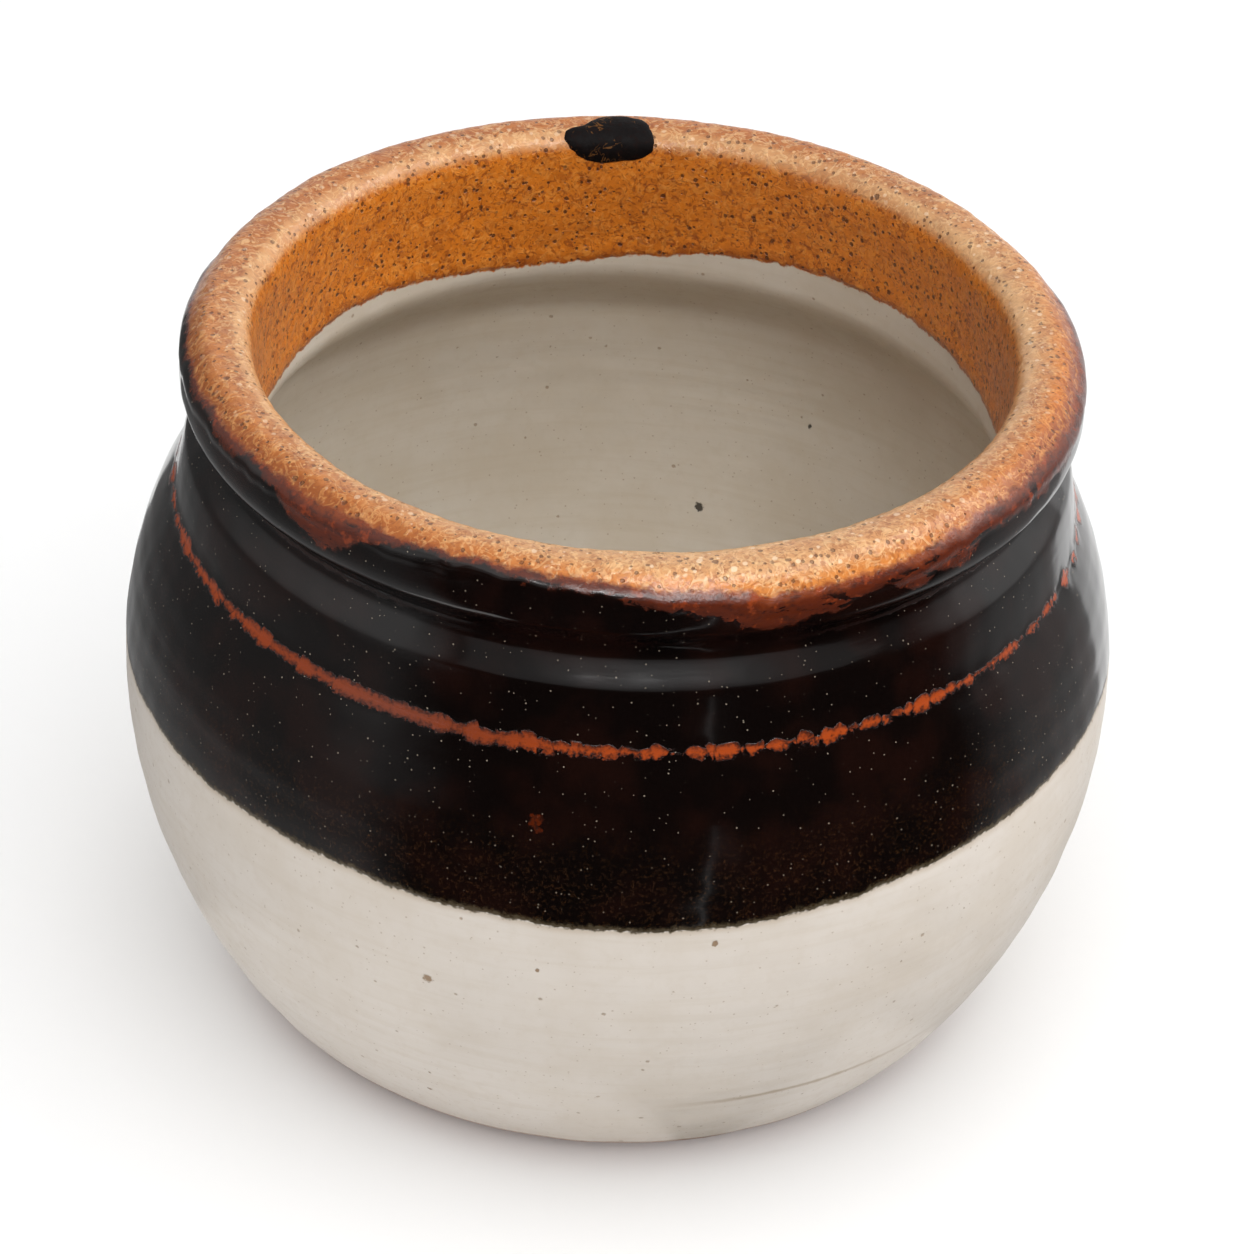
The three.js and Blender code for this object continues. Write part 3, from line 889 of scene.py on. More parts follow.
def ragged(graph, given):
    """Ragged edge: a signed distance made uneven by noise, eased from 0 to 1 across the edge."""
    grain = graph.stray(graph.place(), given["Rate"], 4.0, 0.6)
    moved = graph.weighed(grain, graph.times(given["Ragged"], 4.0), given["Distance"])
    return graph.ease(graph.math("DIVIDE", moved, given["Soft"]), -1.0, 1.0)


def spot(graph, given):
    """One spot at a place on the pot: near its middle the mask is 1, with an uneven edge."""
    place = graph.place()
    apart = graph.add("ShaderNodeVectorMath", {0: place, 1: given["Middle"]}, operation="DISTANCE")
    grain = graph.stray(place, 1.6, 3.0)
    away = graph.weighed(grain, graph.times(given["Size"], 1.6), apart.outputs["Value"])
    return graph.ease(graph.math("DIVIDE", away, given["Size"]), 1.1, 0.7)


# Shared groups that put out one mask: the formula of each and its inputs, with their defaults
MASKS = {
    "Glaze specks": (specks, {"Spacing": 2.0, "Size": 0.3, "Share": 0.5, "Shift": (0, 0, 0)}),
    "Glaze curls": (curls, {"Rate": 0.6, "Width": 0.03, "Cover": 0.5, "Shift": (0, 0, 0)}),
    "Glaze strokes": (strokes, {"Rate": 0.9, "Limit": 0.56, "Soft": 0.16, "Shift": (0, 0, 0)}),
    "Ragged edge": (ragged, {"Distance": 0.0, "Ragged": 0.5, "Soft": 0.2, "Rate": 1.0}),
    "Single spot": (spot, {"Middle": (0, 0, 0), "Size": 1.0}),
}
BREAK = "Amber over iron"


def marks_of(graph, marks):
    """Mask of a few single spots, each with its place and size."""
    total = 0.0
    for middle, size in marks:
        total = graph.either(graph.mask("Single spot", {"Middle": middle, "Size": size}), total)
    return total


def seam_masks(graph, label, fringe):
    """Masks of a ragged seam that two coats share: past the seam, and in the fringe on its near side."""
    distance = graph.field(label)
    past = graph.mask("Ragged edge", {"Distance": distance, **SEAM_EDGE})
    near = graph.mask("Ragged edge", {"Distance": graph.math("ADD", distance, fringe), **FRINGE_EDGE})
    return past, near


def amber_layers(graph, paints):
    """Amber: tan on top, orange by its edge, deeper inside the neck, light curls, dark pinholes.

    Gives its colour, its grain, its pits and its pale strokes.
    """
    place = graph.place()
    crown = graph.field("past_crown")
    past = graph.field("past_amber")
    pale_rim = graph.field("pale_rim")
    blotch = graph.noise(place, 0.2, 3.0)
    blotched_crown = graph.weighed(blotch, 2.0, crown)
    inside = graph.ease(blotched_crown, 4.2, 7.6)
    hot = graph.ease(graph.weighed(blotch, 1.5, past), -2.6, 0.4)
    burnt = graph.times(graph.ease(blotched_crown, 2.8, -1.2), graph.field("burnt_rim"))
    burnt_colour = graph.mix(graph.ease(past, -4.0, -0.4), paints.amber, paints.amber_deep)
    light = graph.mix(graph.either(inside, burnt), paints.cream, paints.amber_light)
    cloud = graph.ease(graph.noise(place, 0.34, 4.0, 0.6), 0.46, 0.72)
    thick = graph.ease(graph.weighed(blotch, 3.0, graph.field("past_liner")), 4.0, 1.2)
    grain = graph.ease(graph.noise(place, 1.3, 4.0, 0.7), 0.36, 0.72)
    pale_strokes = graph.mask("Glaze strokes", PALE_STROKES)
    # Painted highlight: a cream band on the inner rounding of the lip, 1.5 to 6 mm past the crown
    lip_painted_highlight = graph.times(graph.ease(crown, 1.5, 3.2), graph.ease(crown, 6.0, 4.6))
    pits = graph.either(graph.mask("Glaze specks", SMALL_PITS), graph.mask("Glaze specks", WIDE_PITS))
    pits = graph.either(pits, marks_of(graph, NECK_PITS))
    on_top = graph.times(graph.ease(past, -0.8, -2.6, 0.1, 0.55), graph.blend(pale_rim, 0.6, 1.0))
    unburnt = graph.times(on_top, graph.blend(burnt, 1.0, 0.3))
    fleck_colour = graph.mix(inside, paints.fleck, paints.amber_light)
    amber = graph.layered(paints.amber_top, (
        # Painted light: cream mixed into the top of the rim where it is lit, most at the front and the
        # right
        (paints.cream, pale_rim, 0.46),
        (paints.amber, hot, 0.75),
        (burnt_colour, burnt),
        (paints.amber, inside),
        (paints.amber_deep, cloud, 0.35),
        (paints.amber_deep, thick, 0.6),
        (paints.amber_deep, grain, 0.28),
        (light, pale_strokes, 0.4),
        (paints.amber_deep, graph.mask("Glaze strokes", BROWN_STROKES), graph.blend(inside, 0.4, 0.65)),
        (paints.amber_deep, graph.mask("Glaze strokes", DARK_STROKES), graph.blend(inside, 0.35, 0.6)),
        (light, graph.mask("Glaze curls", AMBER_LOOPS), 0.32),
        (paints.cream, lip_painted_highlight, graph.times(blotch, 0.6)),
        (paints.pinhole, pits, graph.blend(inside, 0.6, 0.8)),
        # Painted glints: pale dots standing in for highlights on bubbles in the glaze
        (light, graph.mask("Glaze specks", PAINTED_GLINTS), 0.55),
        (fleck_colour, graph.mask("Glaze specks", FLECKS), unburnt),
    ))
    return amber, grain, pits, pale_strokes


def rust_bead(graph, paints):
    """Rust bead along the shoulder ridge: ragged blocks of uneven width, with dark joints between them.

    Gives its mask and its colour.
    """
    tall = {"Vector": graph.place((1.0, 1.0, 0.3), BEAD_SHIFT), "Scale": BEAD_CELLS}
    cells = graph.add("ShaderNodeTexVoronoi", tall)
    joints = graph.add("ShaderNodeTexVoronoi", tall, feature="DISTANCE_TO_EDGE")
    draw = graph.add("ShaderNodeSeparateColor", {"Color": cells.outputs["Color"]}).outputs
    lump = graph.weighed(draw["Red"], 0.6, 0.68)
    stray = graph.stray(graph.place(shift=BEAD_SHIFT), 1.5, 5.0, 0.75)
    off_bead = graph.math("ABSOLUTE", graph.weighed(stray, 1.5, graph.field("past_ridge")))
    joint = graph.ease(graph.weighed(stray, 0.5, joints.outputs["Distance"]), 0.3, -0.02)
    jointed = graph.field("bead_joint")
    notch = graph.times(graph.times(joint, joint), jointed)
    width = graph.weighed(notch, -0.95, graph.times(graph.field("bead_half"), lump))
    depth = graph.math("SUBTRACT", width, off_bead)
    grain = graph.weighed(graph.noise(graph.place(), 1.7, 5.0, 0.75), 2.6, depth)
    bright = graph.times(graph.ease(grain, 1.2, 2.2), graph.ease(jointed, 0.0, 0.5, 0.45, 1.0))
    return graph.ease(depth, -0.06, 0.14), graph.mix(bright, paints.rust_dark, paints.rust_bright)


def iron_layers(graph, paints):
    """Iron coat: near black, warm patches, fibres low down, pale specks, rust spots and the rust bead.

    A darker, rougher crease runs along the bottom of the cove; its dark colour is painted shade under the
    rim. Gives the coat's colour, its crease and its bead.
    """
    place = graph.place()
    warm = graph.ease(graph.noise(place, 0.11, 3.0), 0.42, 0.66)
    low = graph.ease(graph.field("past_water"), 16.0, 5.0)
    fibres = graph.times(graph.mask("Glaze curls", IRON_FIBRES), low)
    off_ridge = graph.math("ABSOLUTE", graph.field("past_ridge"))
    speck_share = graph.ease(off_ridge, 8.0, 1.0, 0.35, 0.5)
    spot_grain = graph.ease(graph.noise(place, 2.2, 3.0), 0.4, 0.65)
    jog = graph.stray(graph.place((0.5, 0.5, 1.0), (4, 9, 2)), 1.0, 4.0, 0.65)
    off_cove = graph.math("ABSOLUTE", graph.weighed(jog, 1.5, graph.field("past_cove")))
    # Painted shade: a dark line in the crease at the bottom of the cove, under the rim
    crease = graph.times(graph.ease(off_cove, 0.36, 0.14), graph.field("crease_arc"))
    bead, bead_colour = rust_bead(graph, paints)
    iron = graph.layered(paints.iron, (
        (paints.iron_warm, warm, 0.6),
        (paints.iron_fibre, fibres, 0.32),
        (paints.iron_speck, graph.mask("Glaze specks", IRON_SPECKS), speck_share),
        (graph.mix(spot_grain, paints.rust, paints.rust_dark), marks_of(graph, RUST_SPOTS), 0.85),
        # Painted shade of the cove's crease, in dark rust
        (paints.rust_dark, crease, 0.7),
        (bead_colour, bead),
    ))
    return iron, crease, bead


def rust_layers(graph, paints, iron):
    """Amber thinning over the iron: burnt orange, rust with black gaps, then iron at a ragged line.

    Gives the colour and the mask of the bare iron.
    """
    place = graph.place()
    streaked = graph.place((0.4, 0.4, 1.0))
    past = graph.field("past_amber")
    reach = graph.field("rust_reach")
    drift = graph.stray(place, 0.8, 3.0, 0.6)
    share = graph.math("DIVIDE", graph.weighed(drift, 2.2, past), reach)
    mottle = graph.ease(graph.noise(streaked, 1.2, 4.0, 0.7), 0.48, 0.64)
    glow = graph.ease(graph.noise(place, 0.7, 4.0, 0.6), 0.54, 0.68)
    gaps = graph.ease(graph.noise(streaked, 0.42, 4.0, 0.65, 0.4), 0.56, 0.6)
    gaps = graph.times(gaps, graph.ease(past, 0.8, 1.6))
    bare = graph.mask("Ragged edge", {"Distance": graph.math("SUBTRACT", past, reach), **RUST_EDGE})
    rust = graph.layered(paints.amber_deep, (
        (paints.rust, graph.ease(share, 0.0, 0.4)),
        (paints.rust_dark, graph.ease(share, 0.6, 1.1, 0.0, 0.6)),
        (paints.rust_dark, mottle, 0.6),
        (paints.rust_bright, glow, 0.45),
        (paints.amber, marks_of(graph, RUST_GLOWS)),
        (iron, gaps, 0.95),
        (iron, bare),
    ))
    return rust, bare


def break_group(paints):
    """Amber over iron: the amber of the rim, the rust where it breaks and the iron coat below.

    Every mask is an eased distance from the break line, the ridge or the waterline, made ragged by
    noise, so the coat of the rim and the iron coat show one unbroken surface where they meet.
    """
    outputs = {"Color": COLOUR, "Roughness": FLOAT, "Height": FLOAT}
    graph, _, end = group_tree(BREAK, {}, outputs)
    amber, grain, pits, pale_strokes = amber_layers(graph, paints)
    iron, crease, bead = iron_layers(graph, paints)
    outside, bare_iron = rust_layers(graph, paints, iron)
    off_amber = graph.mask("Ragged edge", {"Distance": graph.field("past_amber"), **AMBER_EDGE})

    # Colours, with the seams of the pale coats
    below_water, olive = seam_masks(graph, "under_water", OLIVE_FRINGE)
    below_liner, burnt = seam_masks(graph, "under_liner", BURNT_FRINGE)
    graph.feed(end.inputs["Color"], graph.layered(amber, (
        (outside, off_amber),
        (paints.seam, olive, 0.75),
        (paints.pale, below_water),
        (paints.amber_deep, burnt, 0.4),
        (paints.liner_shade, below_liner),
    )))
    matt = graph.either(graph.math("SUBTRACT", 1.0, bare_iron), bead)
    outer_rough = graph.blend(crease, graph.blend(matt, 0.13, 0.27), 0.5)
    rough = graph.blend(off_amber, graph.blend(grain, 0.3, 0.45), outer_rough)
    graph.feed(end.inputs["Roughness"], graph.blend(graph.either(below_water, olive), rough, 0.4))

    # Relief in millimetres: ripples of the amber, flow lines of the iron coat, pinholes
    place = graph.place()
    ripple = graph.times(graph.stray(place, 0.9, 3.0), 0.12)
    pitted = graph.weighed(pits, -0.12, graph.weighed(pale_strokes, 0.04, ripple))
    flow = graph.times(graph.stray(graph.place((0.12, 0.12, 1.0)), 0.7, 3.0), 0.025)
    beaded = graph.weighed(bead, 0.08, graph.weighed(crease, -0.06, flow))
    bristle = graph.times(graph.stray(place, 3.2, 3.0, 0.6), 0.05)
    below_amber = graph.weighed(matt, graph.weighed(ripple, 0.35, bristle), beaded)
    graph.feed(end.inputs["Height"], graph.blend(off_amber, pitted, below_amber))


def make_groups(paints):
    """Node groups that the finishes share, made once: each mask from its formula, then the break."""
    if BREAK in bpy.data.node_groups:
        return
    for name, (formula, inputs) in MASKS.items():
        graph, given, end = group_tree(name, inputs, {"Mask": FLOAT})
        graph.feed(end.inputs["Mask"], formula(graph, given))
    break_group(paints)


def finish(name):
    """New material: its graph and its Principled shader."""
    material = bpy.data.materials.new(name)
    material.use_nodes = True
    graph = Graph(material.node_tree)
    return material, graph, material.node_tree.nodes["Principled BSDF"]


def relief(graph, shader, height):
    """Bump from a height in millimetres."""
    bump = graph.add("ShaderNodeBump", {"Height": height, "Distance": MM, "Strength": 1.0})
    graph.feed(shader.inputs["Normal"], bump.outputs["Normal"])


def glossy_material(name):
    """Amber or iron coat: both show the shared break of amber over iron."""
    material, graph, shader = finish(name)
    outputs = graph.placed(BREAK, {})
    graph.feed(shader.inputs["Base Color"], outputs["Color"])
    graph.feed(shader.inputs["Roughness"], outputs["Roughness"])
    shader.inputs["IOR"].default_value = GLOSSY_IOR
    relief(graph, shader, outputs["Height"])
    return material


def pale_material(name, base, shade, speck, marks, mark_colour):
    """Pale satin coat: slow warm patches, faint rings, brown specks and single marks."""
    material, graph, shader = finish(name)
    place = graph.place()
    cloud = graph.ease(graph.noise(place, 0.6, 4.0, 0.65), 0.45, 0.75)
    rings = graph.noise(graph.place((0.06, 0.06, 1.0)), 0.8, 3.0, 0.6)
    fine = graph.mask("Glaze specks", FINE_SPECKS)
    large = graph.mask("Glaze specks", LARGE_SPECKS)
    single = marks_of(graph, marks)
    body = graph.layered(base, (
        (shade, graph.ease(graph.noise(place, 0.06, 4.0, 0.6), 0.38, 0.68), 0.5),
        (shade, cloud, 0.3),
        (shade, graph.ease(rings, 0.45, 0.7), 0.35),
        (speck, graph.either(graph.times(fine, 0.45), graph.times(large, 0.55))),
        (mark_colour, single, 0.9),
    ))
    pits = graph.either(graph.times(large, 0.6), single)
    graph.feed(shader.inputs["Roughness"], graph.ease(cloud, 0.0, 1.0, 0.36, 0.48))
    shader.inputs["IOR"].default_value = SATIN_IOR
    wave = graph.times(graph.noise(graph.place((0.4, 0.4, 1.0)), 0.5, 3.0), 0.06)
    relief(graph, shader, graph.weighed(pits, -0.08, wave))
    return material, graph, shader, body


def liner_material(paints):
    """Grey coat inside, with dark dots and a ragged upper seam."""
    material, graph, shader, body = pale_material(
        "grey_satin", paints.liner, paints.liner_shade, paints.pale_speck, LINER_DOTS, paints.dot)
    below, burnt = seam_masks(graph, "under_liner", BURNT_FRINGE)
    edge = graph.mix(graph.times(burnt, 0.4), paints.amber, paints.amber_deep)
    graph.feed(shader.inputs["Base Color"], graph.mix(below, edge, body))
    return material


def lower_material(paints):
    """Pale coat of the lower wall: pits, a stained trim line, a bare edge and an olive upper seam."""
    material, graph, shader, body = pale_material(
        "pale_satin", paints.pale, paints.pale_shade, paints.pale_speck, PALE_PITS, paints.pale_speck)
    off_trim = graph.math("ABSOLUTE", graph.field("past_trim"))
    ragged_trim = graph.weighed(graph.noise(graph.place(), 0.5, 3.0), 0.7, off_trim)
    stain = graph.times(graph.ease(ragged_trim, 1.2, 0.5), graph.field("trim_arc"))
    over_bevel = graph.math("SUBTRACT", BARE_EDGE, graph.field("past_bevel"))
    below, olive = seam_masks(graph, "under_water", OLIVE_FRINGE)
    body = graph.layered(body, (
        (paints.stain, stain, 0.8),
        (paints.clay, graph.mask("Ragged edge", {"Distance": over_bevel, **FOOT_EDGE}), 0.8),
        (paints.stain, graph.ease(graph.field("under_water"), 1.1, 0.0, 0.0, 0.4)),
    ))
    edge = graph.mix(olive, paints.iron, paints.seam)
    graph.feed(shader.inputs["Base Color"], graph.mix(below, edge, body))
    return material


def clay_material(paints):
    """Bare fired clay: sandy grain and iron specks."""
    material, graph, shader = finish("bare_clay")
    grain = graph.ease(graph.noise(graph.place(), 1.8, 5.0, 0.7), 0.35, 0.7)
    body = graph.layered(paints.clay, (
        (paints.amber_deep, grain, 0.4),
        (paints.pinhole, graph.mask("Glaze specks", CLAY_SPECKS), 0.6),
    ))
    graph.feed(shader.inputs["Base Color"], body)
    graph.feed(shader.inputs["Roughness"], graph.ease(grain, 0.0, 1.0, 0.72, 0.9))
    relief(graph, shader, graph.times(grain, 0.12))
    return material


def daub_material(paints):
    """Black daub: semi-matt, lumpy, with a brown scratch or two."""
    material, graph, shader = finish("black_glaze")
    lumps = graph.noise(graph.place(), 1.1, 4.0, 0.6)
    body = graph.layered(paints.daub, (
        (paints.iron_warm, graph.ease(lumps, 0.5, 0.7, 0.0, 0.5)),
        (paints.iron_fibre, graph.mask("Glaze curls", DAUB_SCRATCHES), 0.7),
    ))
    graph.feed(shader.inputs["Base Color"], body)
    graph.feed(shader.inputs["Roughness"], graph.ease(lumps, 0.3, 0.7, 0.5, 0.65))
    shader.inputs["IOR"].default_value = DAUB_IOR
    relief(graph, shader, graph.times(lumps, 0.12))
    return material


# Operators

def workshop(context):
    """Sizes and colours of the scene, with the node groups that the finishes share made."""
    make_groups(context.scene.pot_colours)
    return context.scene.pot_sizes, context.scene.pot_colours


class POT_OT_clay(bpy.types.Operator):
    """Thrown clay: the turned foot and the wall under all the coats"""

    bl_idname = "pot.clay"
    bl_label = "Thrown clay"

    def execute(self, context):
        size, paints = workshop(context)
        coat = Coat(size)
        theta = coat.theta
        ring_inside = size.foot_radius - size.foot_ring_width
        # Underside, from the middle out: recess, its slope, the ring and the rounded edge of the foot
        radius = np.concatenate([
            np.linspace(0, ring_inside - RECESS_SLOPE, 40),
            np.linspace(ring_inside - 0.8 * RECESS_SLOPE, ring_inside, 6),
            np.linspace(ring_inside + RING_INNER_ROUND, size.foot_radius - RING_ROUND, 20),
            size.foot_radius + RING_EDGE,
        ])
        foot = size.foot_radius
        knots = [0, ring_inside - RECESS_SLOPE, ring_inside, foot - RING_ROUND, foot]
        levels = [size.foot_recess, size.foot_recess, 0, 0, RING_ROUND_RISE]
        grooves = GROOVE_HEIGHT * np.cos(2 * math.pi * radius / GROOVE_PITCH)
        in_recess = eased(radius, GROOVE_START, 2 * GROOVE_START)
        in_recess = in_recess * eased(ring_inside - GROOVE_STOP - radius, 0, GROOVE_STOP)
        height = np.interp(radius, knots, levels) + grooves * in_recess
        under = np.stack([np.outer(radius, np.cos(theta)), np.outer(radius, np.sin(theta)),
                          np.outer(height, np.ones(COLUMNS))], axis=-1)
        covered = ruled(
            coat.mark("glaze_line"),
            (coat.mark("bevel_top"), 3),
            (coat.mark("ridge"), 14),
            (coat.mark("cove_above"), 12),
            (coat.mark("crown"), 12),
            (coat.mark("throat"), 10),
            (coat.mark("floor_edge"), 20),
            (coat.mark("floor_middle"), 3),
        )
        base = thrown(size, coat.wall, theta, covered) - size.margin - size.glaze
        body = coat.wall.place(theta, covered, base)
        rows = np.concatenate([under, body])
        add_piece("thrown_clay", rows, False, {}, clay_material(paints), "clay_body",
                  (0, len(rows) - 1))
        return {"FINISHED"}


class POT_OT_liner(bpy.types.Operator):
    """Grey liner coat inside the pot"""

    bl_idname = "pot.liner"
    bl_label = "Grey liner"

    def execute(self, context):
        size, paints = workshop(context)
        coat = Coat(size)
        liner = coat.lines["liner"]
        along = ruled(
            liner,
            (coat.mark("throat", LINER_BAND), 12),
            (coat.mark("inner_shoulder"), 24),
            (coat.mark("inner_belly"), 20),
            (coat.mark("floor_edge"), 36),
            (coat.mark("floor_middle"), 14),
        )
        soft = dimples(coat.theta, along, *LINER_DIMPLES)
        soft = soft * eased(coat.wall.distance[-1] - along, 2 * MM, 14 * MM)
        lift = soft * eased(along - liner, 0, 2 * MM)
        coat.skin("grey_liner", along, lift, liner_material(paints), "liner_glaze",
                  pole=True)
        return {"FINISHED"}


class POT_OT_rim(bpy.types.Operator):
    """Amber coat over the rolled rim and down the neck inside"""

    bl_idname = "pot.rim"
    bl_label = "Amber rim"

    def execute(self, context):
        size, paints = workshop(context)
        coat = Coat(size)
        rim_break, liner = coat.lines["break"], coat.lines["liner"]
        along = ruled(
            rim_break,
            (coat.mark("crown"), 24),
            (coat.mark("lip"), 28),
            (liner - AMBER_BAND, 28),
            (liner, 10),
        )
        from_liner = liner - along
        lumps = dimples(coat.theta, along, *AMBER_LUMPS) + dimples(coat.theta, along, *AMBER_SWELLS)
        rolled = AMBER_ROLL * eased(from_liner, 0, 0.7 * MM) * (1 - eased(from_liner, 1.2 * MM, 3.5 * MM))
        fade = eased(along - rim_break, 0, 1.5 * MM) * eased(from_liner, 0, 0.8 * MM)
        lift = lumps * fade + rolled + MM * rim_roll(coat.values(along)["past_amber"])
        coat.skin("amber_rim", along, lift, glossy_material("amber_glaze"), "rim_glaze")
        return {"FINISHED"}


class POT_OT_iron(bpy.types.Operator):
    """Dark iron coat of the shoulder and neck, with its rust bead and thick lower edge"""

    bl_idname = "pot.iron"
    bl_label = "Iron coat"

    def execute(self, context):
        size, paints = workshop(context)
        coat = Coat(size)
        water = coat.lines["water"]
        along = ruled(
            water,
            (water + IRON_BAND, 12),
            (coat.mark("ridge", -IRON_BAND), 32),
            (coat.mark("ridge", IRON_BAND), 16),
            (coat.mark("bend"), 10),
            (coat.mark("cove_below"), 12),
            (coat.mark("cove_above"), 14),
            (coat.mark("rim_side"), 14),
            (coat.lines["break"], 20),
        )
        fields = coat.values(along)
        past_water = along - water
        to_break = coat.lines["break"] - along
        fade = eased(past_water, 0, 2 * MM) * eased(to_break, 0, 3 * MM)
        peel = dimples(coat.theta, along, size.orange_peel, *IRON_PEEL) * fade
        half = np.maximum(bead_half(coat.theta), 0.3)
        bead = size.ridge_bead * np.exp(-(fields["past_ridge"] / half) ** 2)
        uneven_roll = (1 + uneven(coat.theta, *ROLL_WAVES)).clip(0.4, 1.6)
        rolled = eased(past_water, 0, 0.5 * MM) * (1 - 0.6 * eased(past_water, 0.9 * MM, 4 * MM))
        roll = size.edge_roll * uneven_roll * rolled * eased(to_break, 0, 6 * MM)
        lift = peel + bead + roll + MM * rim_roll(fields["past_amber"])
        coat.skin("iron_coat", along, lift, glossy_material("iron_glaze"), "dark_glaze")
        return {"FINISHED"}


class POT_OT_pale(bpy.types.Operator):
    """Pale coat of the lower wall, with the trimmed line above the foot"""

    bl_idname = "pot.pale"
    bl_label = "Pale coat"

    def execute(self, context):
        size, paints = workshop(context)
        coat = Coat(size)
        water = coat.lines["water"]
        trim = coat.mark("bevel_top", TRIM_RISE * MM)
        along = ruled(
            coat.lines["foot"],
            (coat.mark("bevel_top", BEVEL_BAND[0]), 8),
            (coat.mark("bevel_top", BEVEL_BAND[1]), 6),
            (trim - PALE_BAND, 12),
            (trim + PALE_BAND, 18),
            (water - PALE_BAND, 30),
            (water, 6),
        )
        past_foot = along - coat.lines["foot"]
        soft = dimples(coat.theta, along, *PALE_DIMPLES)
        soft = soft * eased(past_foot, 0, 3 * MM) * eased(water - along, 0, 2 * MM)
        below_trim = 1 - eased(along - trim, -0.5 * MM, 0.5 * MM)
        arc = patches(coat.theta, ARCS["trim_arc"])
        step = TRIM_STEP * arc * below_trim * eased(along, 8 * MM, 16 * MM)
        rounded = FOOT_ROUNDING * np.exp(-past_foot / FOOT_ROUNDING_REACH)
        lift = soft - step - rounded
        coat.skin("pale_coat", along, lift, lower_material(paints), "lower_glaze")
        return {"FINISHED"}


class POT_OT_daub(bpy.types.Operator):
    """Black daub of glaze on the rim"""

    bl_idname = "pot.daub"
    bl_label = "Black daub"

    def execute(self, context):
        size, paints = workshop(context)
        wall = Wall(size)
        around = np.arange(DAUB_COLUMNS) * 2 * math.pi / DAUB_COLUMNS
        # Rows from the middle of the top out to the edge, then back to the middle underneath
        top = np.linspace(0, 1, DAUB_ROWS)
        share = np.concatenate([top, top[-2::-3], [0]])[:, None]
        is_top = (np.arange(len(share)) < len(top))[:, None]
        outline = 1 + wander(DAUB_LOBES, around) + uneven(around, *DAUB_WAVES)
        across = share * outline * np.cos(around) * size.daub_half_width
        beside = share * outline * np.sin(around) * size.daub_half_length
        dome = np.sqrt(np.clip(1 - share ** 4, 0, 1)) * size.daub_height
        lumps = DAUB_LUMP * np.cos(across / MM * 2.1 + 1) * np.cos(beside / MM * 1.7) * (1 - share ** 6)
        lift = np.where(is_top, dome + lumps, -DAUB_SEAT) - size.margin
        theta = size.daub_angle + beside / wall.crown_radius
        rows = wall.place(theta, wall.marks["crown"] + size.daub_inside + across, lift)
        add_piece("black_daub", rows, False, {}, daub_material(paints), "rim_daub",
                  (0, len(rows) - 1))
        return {"FINISHED"}


def stage_piece(name, points, faces, material):
    """Object of the stage from points and faces."""
    mesh = bpy.data.meshes.new(name)
    mesh.from_pydata(points, [], faces)
    mesh.materials.append(material)
    piece = bpy.data.objects.new(name, mesh)
    bpy.context.scene.collection.objects.link(piece)
    return piece


def matt_finish(name, grey):
    """Matt material of a grey that can also shine white: its graph and the strength of that light."""
    material, graph, shader = finish(name)
    shader.inputs["Base Color"].default_value = (grey, grey, grey, 1)
    shader.inputs["Roughness"].default_value = 1.0
    shader.inputs["Specular IOR Level"].default_value = 0.0
    shader.inputs["Emission Color"].default_value = WHITE
    return material, graph, shader.inputs["Emission Strength"]


def seen_white(graph):
    """1 for rays that show the background: from the camera, off gloss and through glass."""
    path = graph.add("ShaderNodeLightPath").outputs
    shown = graph.math("ADD", path["Is Camera Ray"], path["Is Glossy Ray"])
    return graph.math("MINIMUM", graph.math("ADD", shown, path["Is Transmission Ray"]), 1.0)


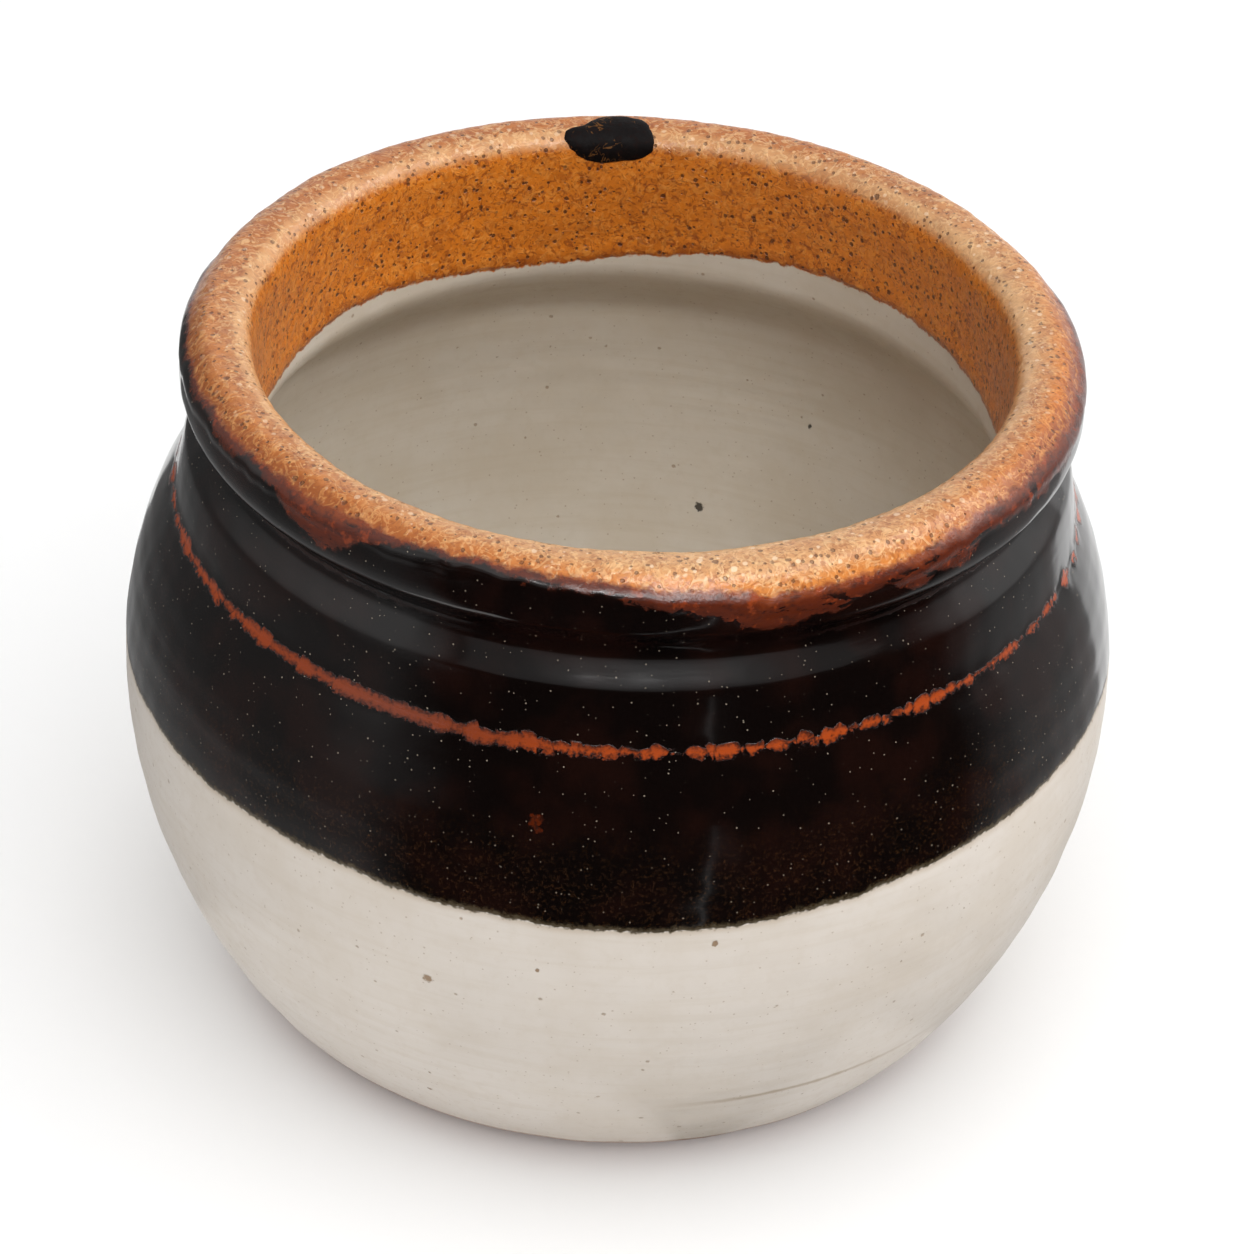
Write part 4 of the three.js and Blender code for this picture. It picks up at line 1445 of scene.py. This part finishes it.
class POT_OT_stage(bpy.types.Operator):
    """White floor, soft light, dark cards for the gloss, and the camera"""

    bl_idname = "pot.stage"
    bl_label = "Stage"

    def execute(self, context):
        scene, studio = context.scene, context.scene.pot_studio
        scene.view_settings.view_transform = "Standard"
        pieces = [piece for piece in scene.objects if piece.type == "MESH"]
        self.add_world(scene, studio)
        floor = self.add_floor(studio)
        self.add_cards()
        for name, watts, place, sides in LAMPS:
            lit = [floor] if watts == "floor_light" else pieces
            self.add_lamp(name, place, sides, getattr(studio, watts), lit)
        self.add_camera(scene, studio)
        return {"FINISHED"}

    def add_world(self, scene, studio):
        """White all round for what is seen, and a plain part of it for the light on the object."""
        world = bpy.data.worlds.new("studio")
        world.use_nodes = True
        graph = Graph(world.node_tree)
        strength = graph.blend(seen_white(graph), studio.ambient, 1.0)
        background = world.node_tree.nodes["Background"]
        background.inputs["Color"].default_value = WHITE
        graph.feed(background.inputs["Strength"], strength)
        scene.world = world

    def add_floor(self, studio):
        """White floor that keeps the shadow and is lifted to white where it is seen."""
        material, graph, strength = matt_finish("floor", FLOOR_GREY)
        away = graph.add("ShaderNodeVectorMath", {0: graph.place()}, operation="LENGTH").outputs["Value"]
        lift = graph.ease(away, FLOOR_NEAR, FLOOR_FAR, studio.floor_lift, FAR_LIFT)
        graph.feed(strength, graph.times(seen_white(graph), lift))
        corners = [(FLOOR_REACH * x, FLOOR_REACH * y, 0) for x, y in ((-1, -1), (1, -1), (1, 1), (-1, 1))]
        return stage_piece("floor", corners, [(0, 1, 2, 3)], material)

    def add_cards(self):
        """Cards that only the gloss shows: dark in front, grey on both sides, a pale slip on the floor.

        Each is a fan of the floor round one point by the pot, and the screen that stands on its rim.
        """
        foot = np.array([*CARD_CENTRE, CARD_LIFT])
        for name, start, end, start_fade, end_fade, knots in CARDS:
            angles = np.linspace(start, end, CARD_STEPS)
            turns = np.radians(angles - 90)
            ring = np.stack([np.cos(turns), np.sin(turns), np.zeros(CARD_STEPS)], axis=1)
            rows = np.stack([foot + ring * out + np.array([0, 0, up]) for out, up, _ in knots])
            fade = np.ones(CARD_STEPS)
            if start_fade:
                fade *= eased(angles, start, start + start_fade)
            if end_fade:
                fade *= eased(-angles, -end, end_fade - end)
            self.add_card(name, rows, np.outer([shade for _, _, shade in knots], fade))

    def add_card(self, name, rows, shades):
        """One card from rows of points, each point lit by itself to its own shade."""
        material, graph, strength = matt_finish(name, 0)
        graph.feed(strength, graph.field("shade"))
        count, steps, _ = rows.shape
        corner = (np.arange(count - 1)[:, None] * steps + np.arange(steps - 1)).ravel()
        cells = np.stack([corner, corner + 1, corner + steps + 1, corner + steps], axis=1)
        card = stage_piece(name, rows.reshape(-1, 3).tolist(), cells.tolist(), material)
        layer = card.data.attributes.new("shade", "FLOAT", "POINT")
        layer.data.foreach_set("value", shades.ravel().astype(np.float32))
        for rays in ("camera", "diffuse", "shadow", "transmission"):
            setattr(card, f"visible_{rays}", False)

    def add_lamp(self, name, place, sides, watts, lit):
        """Softbox that faces the middle of the pot and lights the objects given."""
        lamp = bpy.data.lights.new(name, "AREA")
        lamp.shape = "RECTANGLE"
        lamp.size, lamp.size_y = sides
        lamp.energy = watts
        holder = bpy.data.objects.new(name, lamp)
        middle = (CAD_BOX[0] + CAD_BOX[1]) / 2
        holder.location = place
        holder.rotation_euler = (holder.location - middle).to_track_quat("Z", "Y").to_euler()
        bpy.context.scene.collection.objects.link(holder)
        holder.light_linking.receiver_collection = bpy.data.collections.new(name)
        for piece in lit:
            holder.light_linking.receiver_collection.objects.link(piece)

    def add_camera(self, scene, studio):
        """Camera in front of the pot, looking down, with a slight lean."""
        camera = bpy.data.cameras.new("camera")
        camera.sensor_width = SENSOR
        camera.lens = studio.lens
        holder = bpy.data.objects.new("camera", camera)
        turn = Matrix.Rotation(-studio.yaw, 3, "Z")
        tilt = Matrix.Rotation(math.pi / 2 - studio.pitch, 3, "X")
        lean = Matrix.Rotation(studio.roll, 3, "Z")
        holder.location = (0, -studio.camera_back, studio.camera_height)
        holder.rotation_euler = (turn @ tilt @ lean).to_euler()
        scene.collection.objects.link(holder)
        scene.camera = holder


PIECES = (POT_OT_clay, POT_OT_liner, POT_OT_rim, POT_OT_iron, POT_OT_pale, POT_OT_daub)


class POT_PT_panel(bpy.types.Panel):
    """Sizes, colours and steps of the pot"""

    bl_idname = "POT_PT_panel"
    bl_label = "Stoneware pot"
    bl_space_type = "VIEW_3D"
    bl_region_type = "UI"
    bl_category = "Pot"

    def draw(self, context):
        for step in (*PIECES, POT_OT_stage):
            self.layout.operator(step.bl_idname)
        for group in (context.scene.pot_sizes, context.scene.pot_colours, context.scene.pot_studio):
            box = self.layout.box()
            for name in group.__annotations__:
                box.prop(group, name)


CLASSES = (PotSizes, PotColours, PotStudio, *PIECES, POT_OT_stage, POT_PT_panel)


def register():
    for kind in CLASSES:
        bpy.utils.register_class(kind)
    bpy.types.Scene.pot_sizes = bpy.props.PointerProperty(type=PotSizes)
    bpy.types.Scene.pot_colours = bpy.props.PointerProperty(type=PotColours)
    bpy.types.Scene.pot_studio = bpy.props.PointerProperty(type=PotStudio)


def unregister():
    for name in ("pot_sizes", "pot_colours", "pot_studio"):
        delattr(bpy.types.Scene, name)
    for kind in reversed(CLASSES):
        bpy.utils.unregister_class(kind)


def main():
    register()
    bpy.ops.pot.clay()
    bpy.ops.pot.liner()
    bpy.ops.pot.rim()
    bpy.ops.pot.iron()
    bpy.ops.pot.pale()
    bpy.ops.pot.daub()
    bpy.ops.pot.stage()


if __name__ == "__main__":
    main()
